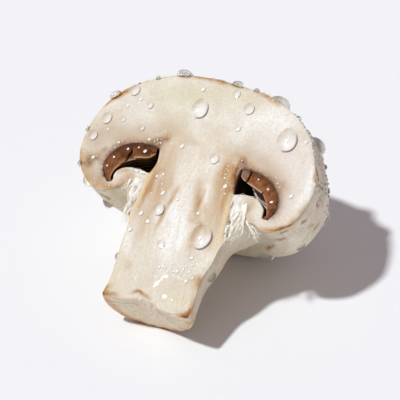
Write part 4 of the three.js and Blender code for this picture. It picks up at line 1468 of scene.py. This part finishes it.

# %% [markdown]
# ## Water drops
#
# The mushroom has just been rinsed. Water stands on it in flat domes, held by its own surface tension: big
# drops sag downhill, small ones are nearly round. A drop is a closed body of clear water whose foot is sunk
# into the flesh, so that it bends light like a real one; the light that it gathers is painted on.

# %% Where the drops stand
FACE_DROPS = [  # across, up and width, in millimetres
    (17.1, 7.0, 4.05), (-2.9, 10.8, 3.5), (5.2, -16.0, 4.2), (7.4, 12.3, 2.22), (3.9, 15.2, 1.62),
    (-3.5, 15.1, 1.01), (6.2, 7.9, 1.31), (-18.1, 12.6, 2.2), (-16.2, 10.9, 0.81), (-13.8, 9.9, 1.41),
    (-18.6, 9.1, 0.81), (-22.3, 5.6, 2.22), (-18.7, 5.9, 1.21), (-24.2, 1.4, 2.02), (-14.1, 4.7, 1.21),
    (-21.4, 3.2, 0.61), (-22.7, -3.3, 0.81), (-11.8, 2.5, 0.71), (-18.1, 0.8, 0.61), (-4.4, 2.2, 1.01),
    (3.1, 0.6, 2.02), (-6.6, -4.4, 0.71), (-7.8, -5.0, 0.61), (-7.1, -4.9, 0.4), (-5.5, -8.3, 1.01),
    (-5.3, -11.8, 2.42), (-8.8, -13.3, 1.01), (-7.1, -14.6, 1.21), (-2.1, -9.1, 0.81), (-2.7, -19.0, 1.62),
    (4.2, -20.4, 1.21), (7.0, -4.7, 1.01), (6.4, -3.0, 0.51), (3.0, -11.2, 0.81), (20.9, -4.4, 1.01),
    (17.2, -6.3, 0.51), (21.2, 3.2, 0.61), (20.9, 7.3, 0.91), (-10.1, -17.1, 1.01), (-1.0, -23.3, 0.81),
    (2.2, -23.8, 0.9), (4.6, -25.4, 0.9), (-1.7, -23.6, 0.7), (-0.5, -23.5, 0.6), (1.5, -23.9, 0.7),
    (3.4, -23.1, 0.6), (3.8, -22.4, 0.6), (4.9, -22.0, 0.6), (2.7, -22.9, 0.5), (4.7, -23.4, 0.7),
    (5.7, -24.6, 0.6), (5.7, -22.5, 0.5), (3.9, -24.4, 0.5), (5.2, -23.9, 0.45), (6.3, -23.4, 0.5),
    (1.2, -22.4, 0.45), (2.1, -21.6, 0.45), (0.3, -24.2, 0.5), (2.9, -24.9, 0.55), (5.4, -20.9, 0.45),
]
GILL_DROPS = [  # the same, on the cut gills
    (-15.7, -0.3, 0.6), (-18.2, -2.5, 0.5), (-13.5, 0.4, 0.45), (-11.9, -0.2, 0.8), (-19.1, -4.6, 0.45),
    (15.9, -3.8, 0.5), (17.4, -6.3, 0.5), (13.4, -2.1, 0.4),
]
SKIN_DROPS = [  # across, up, out of the cut face, and width
    (-8.3, 17.7, -0.8, 3.0), (-13.8, 16.1, -0.2, 1.1), (-22.0, 11.1, -0.4, 2.3), (-17.6, 14.3, -0.2, 0.6),
    (-25.8, 2.6, -0.3, 1.1), (3.5, 17.1, -0.1, 2.1), (7.9, 16.5, -0.1, 1.1), (12.6, 15.3, -2.3, 3.6),
    (17.6, 12.3, -1.1, 1.3), (20.7, 9.7, -8.1, 3.4), (22.9, 6.2, -10.0, 1.1), (24.7, 1.4, -10.8, 0.9),
    (22.8, -1.7, -18.9, 2.7), (21.5, -10.6, -12.6, 1.7), (12.8, -11.8, -19.5, 2.7), (-23.0, -8.2, -1.6, 2.1),
    (-20.5, -9.7, -9.1, 2.3), (-25.2, -5.1, -0.2, 1.2), (-15.0, -8.3, -2.5, 0.6), (-11.5, -22.9, -0.9, 1.5),
    (8.3, -22.7, -3.3, 1.9),
]
print("drops on the face, the gills and the skin:", len(FACE_DROPS), len(GILL_DROPS), len(SKIN_DROPS))

# %% Feet for the drops
skin_facing = corner_normals("skin")
OUT_OF_FACE = [0, 0, 1.0]
KEY_DIRECTION = (-0.372, -0.368, 0.852)  # from the mushroom towards the lamp
TO_KEY = LAY.T @ np.array(KEY_DIRECTION)  # the same in the drawing


def on_body(places, on_cut_face):
    """The body's nearest point to each place, after the relief, and the direction that it faces."""
    candidates = np.flatnonzero(on_face if on_cut_face else on_skin & ~on_face)
    nearest = [candidates[np.argmin(((body_points[candidates] - place) ** 2).sum(1))] for place in places]
    if not on_cut_face:
        return body_shaped[nearest], skin_facing[nearest]
    feet = np.column_stack([places[:, :2], np.minimum(body_shaped[nearest, 2], -CUT_SETBACK)])
    return feet, np.broadcast_to(OUT_OF_FACE, feet.shape)


def along_surface(way, facing):
    """The part of a direction that lies along each surface, with length 1."""
    level = way - facing * (facing @ way)[:, None]
    return level / np.maximum(np.linalg.norm(level, axis=1, keepdims=True), 1e-9)


# %% Domes of water
OUTLINE_WAVER = 0.02
LONGER, DRAWN_OUT = 1.03, 0.045  # a tiny drop's length for its width, and what each millimetre adds
SAG = 0.22  # how far a drop leans downhill, as a share of its height
DOWNHILL = np.array([0.0, -1.0, 0.0])  # in the drawing


def domes(feet, facing, width, contact, segments, rings, sink, seed):
    """Closed drops: part of a sphere that meets the flesh at the contact angle, with a foot sunk below it.

    A drop leans downhill, the more so the larger it is, and its outline wavers by a few per cent. Rows run
    from the top down the dome, round the foot and in to the middle of the base; both ends are single points.
    Three things go with each point: how far it lies on the side away from the lamp and how far from the
    drop's middle, both in radii, and the direction that the flesh below the drop faces.
    """
    count = len(feet)
    rng = np.random.default_rng(seed)
    downhill = along_surface(DOWNHILL, facing)
    sideways = np.cross(facing, downhill)
    tilt = np.linspace(0, 1, rings)[None, :, None] * contact[:, None, None]
    ball = (width / 2 / np.sin(contact))[:, None, None]
    out = ball * np.sin(tilt)
    high = ball * (np.cos(tilt) - np.cos(contact)[:, None, None])
    out = np.concatenate([out, out[:, -1:], 0 * out[:, -1:]], 1)
    high = np.concatenate([high, high[:, -1:] - sink, high[:, -1:] - sink], 1)
    bearing = np.linspace(0, 2 * np.pi, segments, endpoint=False)[None, None, :]
    phase = rng.uniform(0, 2 * np.pi, (3, count, 1, 1))
    lobes = np.cos(2 * bearing + phase[0]) + 0.7 * np.cos(3 * bearing + phase[1]) \
        + 0.4 * np.cos(5 * bearing + phase[2])
    waver = 1 + OUTLINE_WAVER * lobes
    along = out * waver * np.cos(bearing) * (LONGER + DRAWN_OUT * width[:, None, None]) + SAG * high
    side = out * waver * np.sin(bearing)
    high = np.broadcast_to(high, along.shape)
    points = feet[:, None, None] + along[..., None] * downhill[:, None, None] \
        + side[..., None] * sideways[:, None, None] + high[..., None] * facing[:, None, None]
    offset = (points - feet[:, None, None]) / (width / 2)[:, None, None, None]
    far_side = np.einsum("nrsk,nk->nrs", offset, -along_surface(TO_KEY, facing))
    from_middle = np.broadcast_to(out / (width / 2)[:, None, None], along.shape)
    seat = np.broadcast_to((facing @ LAY.T)[:, None, None], points.shape)
    return points, far_side, from_middle, seat


# %% Objects of many drops
def drop_faces(count, levels, segments):
    """Vertex numbers of many closed drops: the top row and the base row are one point each."""
    index = np.arange(count * levels * segments).reshape(count, levels, segments)
    index = np.concatenate([index, index[:, :, :1]], 2)
    index[:, 0] = index[:, 0, :1]
    index[:, -1] = index[:, -1, :1]
    return np.concatenate([grid_faces(one) for one in index])


def water_piece(name, made, finish):
    """One object of many closed drops, with the grid's unused points left out and its faces pointing out."""
    points, far_side, from_middle, seat = made
    count, levels, segments = points.shape[:3]
    kept, faces = np.unique(drop_faces(count, levels, segments), return_inverse=True)
    faces = faces.reshape(-1, 3)
    points = laid(points.reshape(-1, 3))[kept]
    if volume_of(points, faces) < 0:
        faces = faces[:, ::-1]
    values = {"far_side": far_side.ravel()[kept], "from_middle": from_middle.ravel()[kept],
              "seat": seat.reshape(-1, 3)[kept]}
    piece = new_piece(name, points, faces, values)
    piece.data.materials.append(finish)
    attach(piece, "root")
    print(name, count, "drops,", len(faces), "triangles")


# %% [markdown]
# ### The finish of water
#
# A drop is a lens: light from the lamp gathers under its far side, and its near side looks darker. A plain
# glass drop would need light traced through it to show this, so the finish paints it outright: a painted
# bright patch of light and a painted dark patch of shade, with a painted shadow round the far edge. They
# follow the lamp, so they stay where they are from every side.

# %% Finishes for water
WATER_IOR = 1.333
SOFT_IOR = 1.2  # bends light less than real water, so that drops on the skin don't turn black at their edges


def face_water(name, glow_from, shade):
    """Water on the cut face, nearly clear, with a painted bright and a painted dark patch as if they lay on
    the flesh below.

    The lamp's light gathering on the far side is painted: it glows softly from `glow_from` on. Brown painted
    shade is laid on the near side and a painted shadow round the far edge, both as strong as `shade` says.
    The top is glassy enough for a highlight.
    """
    m = Wiring(name)
    far, from_middle = m.number("far_side"), m.number("from_middle")
    # painted light: the lamp's light gathered under the drop's far side
    painted_glow = m.times(m.between(far, glow_from, glow_from + 1.4), m.between(from_middle, 0.95, 0.84))
    # painted shadow round the far edge, and below it painted shade on the near side
    line = m.times(m.between(from_middle, 0.86, 0.95), m.between(far, 0.0, 0.7), shade)
    near = m.times(m.between(far, -0.1, -0.8), m.between(from_middle, 0.3, 0.9))
    dark = m.math("MAXIMUM", line, m.times(near, 0.4 * shade))
    colour = m.blend(m.between(dark, 0.05, 0.35), srgb(250, 247, 242), seen(204, 160, 106))
    top = m.between(from_middle, 0.3, 0.14, 0.04, 0.3)
    alpha = m.math("MAXIMUM", m.math("MAXIMUM", m.times(painted_glow, 0.85), m.times(dark, 0.6)), top, clamp=True)
    solid = m.math("MAXIMUM", painted_glow, m.times(dark, 2.0), clamp=True)
    own_way = m.node("NewGeometry", output="Normal")
    seat_way = m.node("Attribute", output="Vector", attribute_name="seat")
    facing = m.node("Mix", {0: solid, 4: own_way, 5: seat_way}, output=1, data_type="VECTOR")
    clearness = m.math("SUBTRACT", 1.0, solid, clamp=True)
    return m.finish(Base_Color=colour, Roughness=0.0, IOR=WATER_IOR, Alpha=alpha, Normal=facing,
                    Transmission_Weight=clearness, Coat_Weight=1.0, Coat_Roughness=0.05)


def skin_water(name, clearness, bright_from):
    """Water on the skin: glass with a painted crescent of light, from `bright_from` on, away from the lamp.
    """
    m = Wiring(name)
    far = m.between(m.number("far_side"), bright_from, bright_from + 0.5)
    # painted light: a bright crescent on the side away from the lamp
    painted_crescent = m.times(far, m.between(m.number("from_middle"), 0.5, 0.85))
    return m.finish(Base_Color=srgb(255, 254, 251), Roughness=0.0, IOR=SOFT_IOR, Coat_Weight=1.0,
                    Coat_Roughness=0.08, Alpha=m.math("MAXIMUM", painted_crescent, clearness),
                    Transmission_Weight=m.math("SUBTRACT", 1.0, painted_crescent))


soft_water = face_water("water_on_flesh", -0.5, 1.0)
bright_water = face_water("water_in_small_drops", -1.2, 0.6)
clear = skin_water("water_on_skin", 0.88, -0.2)
bead_water = skin_water("water_beads", 0.12, -0.8)

# %% The drops
BIG_FROM = 1.1  # drops wider than this sag more and gather the light more softly
DROP_GROWTH = 1.08
face_drops, gill_drops = (np.insert(np.array(drops), 2, 0.0, axis=1) for drops in (FACE_DROPS, GILL_DROPS))
is_big = face_drops[:, 3] > BIG_FROM
KINDS = [  # name, drops, finish, contact angle in degrees, steps round a drop and steps down it
    ("water_drops", face_drops[is_big], soft_water, 62, 40, 12),
    ("water_on_gills", gill_drops, bright_water, 80, 16, 6),
    ("water_droplets", face_drops[~is_big], bright_water, 72, 20, 7),
    ("water_on_skin", np.array(SKIN_DROPS), clear, 80, 32, 12),
]
for name, drops, finish, contact, segments, rings in KINDS:
    drops = drops * [1, 1, 1, DROP_GROWTH]
    feet, facing = on_body(drops[:, :3], finish is not clear)
    angles = np.full(len(drops), np.radians(contact))
    water_piece(name, domes(feet, facing, drops[:, 3], angles, segments, rings, sink=0.3, seed=5), finish)

# %% [markdown]
# ### Beads and mist
#
# Rinsing also leaves hundreds of beads too small to sag. They sit most thickly on the right flank and over
# the crown, so each point of the skin gets a liking, and the beads draw their places by it. The finest of
# them, a mist, stand where the cut flesh has browned and dried. A bead is only a few faces.

# %% Beads too small to sag, strewn over the skin
BEADS = 620
rng = np.random.default_rng(17)
skin_points = np.flatnonzero(on_skin & ~on_face)
bead_u, bead_v, _ = body_points[skin_points].T
liking = 0.02 + 6.0 * (bead_u > 12) * (bead_v > -4) + 3.0 * (bead_v > 8) * (bead_u > -10)
off_table = laid(body_shaped[skin_points])[:, 2] > 0.4 * MM
liking *= (bead_v > -31) * off_table
chosen = rng.choice(skin_points, BEADS, replace=False, p=liking / liking.sum())
bead_width = 0.3 + 0.65 * rng.uniform(0, 1, BEADS) ** 2
bead_contact = rng.uniform(np.radians(75), np.radians(95), BEADS)
BEAD_SHAPE = {"segments": 8, "rings": 3, "sink": 0.08}
beads = domes(body_shaped[chosen], skin_facing[chosen], bead_width, bead_contact, **BEAD_SHAPE, seed=6)
water_piece("water_beads", beads, bead_water)

# %% A mist of fine beads where the cut flesh has browned
MIST = 130
MIST_CONTACT = np.radians(75)
mist_points = np.flatnonzero(on_face & (veil_face < 0.1) & (rim_distance > 0.4) & (mouth_distance > 0.3))
mist_liking = 0.03 + body_values["tan"][mist_points] ** 1.5 + 0.8 * body_values["umber_and_flank_shade"][mist_points]
chosen = rng.choice(mist_points, MIST, replace=False, p=mist_liking / mist_liking.sum())
mist_feet = np.column_stack([body_points[chosen, :2], np.minimum(body_shaped[chosen, 2], -CUT_SETBACK)])
mist_width = 0.2 + 0.26 * rng.uniform(0, 1, MIST) ** 2
facing = np.broadcast_to(OUT_OF_FACE, mist_feet.shape)
mist = domes(mist_feet, facing, mist_width, np.full(MIST, MIST_CONTACT), **BEAD_SHAPE, seed=8)
water_piece("water_mist", mist, bright_water)

# %% [markdown]
# ## Floor, light and camera
#
# A mushroom is best seen on a plain pale floor, so that its own shadow shows how it lies. One small bright
# lamp high on the left gives the crisp shadow, and soft light from all round fills it. The lamp is a sun,
# whose light is the same everywhere. The camera stands in front, well above the floor, with a long lens.

# %% Floor
FLOOR_HALF = 2.0
floor_corners = [(-FLOOR_HALF, -FLOOR_HALF, 0), (FLOOR_HALF, -FLOOR_HALF, 0), (FLOOR_HALF, FLOOR_HALF, 0),
                 (-FLOOR_HALF, FLOOR_HALF, 0)]
floor_mesh = bpy.data.meshes.new("floor")
floor_mesh.from_pydata(floor_corners, [], [(0, 1, 2, 3)])
floor = bpy.data.objects.new("floor", floor_mesh)
bpy.context.scene.collection.objects.link(floor)
floor_paint = Wiring("floor_paint")
floor_mesh.materials.append(
    floor_paint.finish(Base_Color=(0.8, 0.8, 0.8, 1), Roughness=0.7, Specular_IOR_Level=0.2))

# %% Light
scene = bpy.context.scene
scene.view_settings.view_transform = "Standard"
key_data = bpy.data.lights.new("key", "SUN")
key_data.energy = 3.166
key_data.angle = np.radians(3.5)  # the lamp's width in the sky, which softens the shadow's edge
key_data.color = (0.917, 0.968, 1.0)
key = bpy.data.objects.new("key", key_data)
key.rotation_euler = Vector(KEY_DIRECTION).to_track_quat("Z", "Y").to_euler()
scene.collection.objects.link(key)

world = bpy.data.worlds.new("studio")
scene.world = world
world.use_nodes = True
sky = world.node_tree.nodes["Background"]
sky.inputs["Color"].default_value = (1.0, 0.869, 0.947, 1.0)
sky.inputs["Strength"].default_value = 0.3325
print("lamp:", round(key_data.energy, 2), "and soft light:", round(sky.inputs["Strength"].default_value, 2))

# %% Camera
CAMERA_AZIMUTH, CAMERA_ELEVATION = np.radians(18.8246), np.radians(38.0)
CAMERA_DISTANCE = 358.872
AIM_RIGHT, AIM_UP = 0.1883, -8.2457  # where the view's middle passes the drawing's origin
level = np.cos(CAMERA_ELEVATION)
back = np.array([np.sin(CAMERA_AZIMUTH) * level, -np.cos(CAMERA_AZIMUTH) * level, np.sin(CAMERA_ELEVATION)])
view_right = np.array([np.cos(CAMERA_AZIMUTH), np.sin(CAMERA_AZIMUTH), 0])
view_up = np.cross(back, view_right)
camera_data = bpy.data.cameras.new("camera")
camera_data.lens = 160
camera_data.sensor_width = 36
camera_data.clip_end = 10
camera = bpy.data.objects.new("camera", camera_data)
camera.location = (ORIGIN + AIM_RIGHT * view_right + AIM_UP * view_up + CAMERA_DISTANCE * back) * MM
camera.rotation_euler = Vector(back).to_track_quat("Z", "Y").to_euler()
scene.collection.objects.link(camera)
scene.camera = camera
print("camera at", [round(place, 3) for place in camera.location], "m")
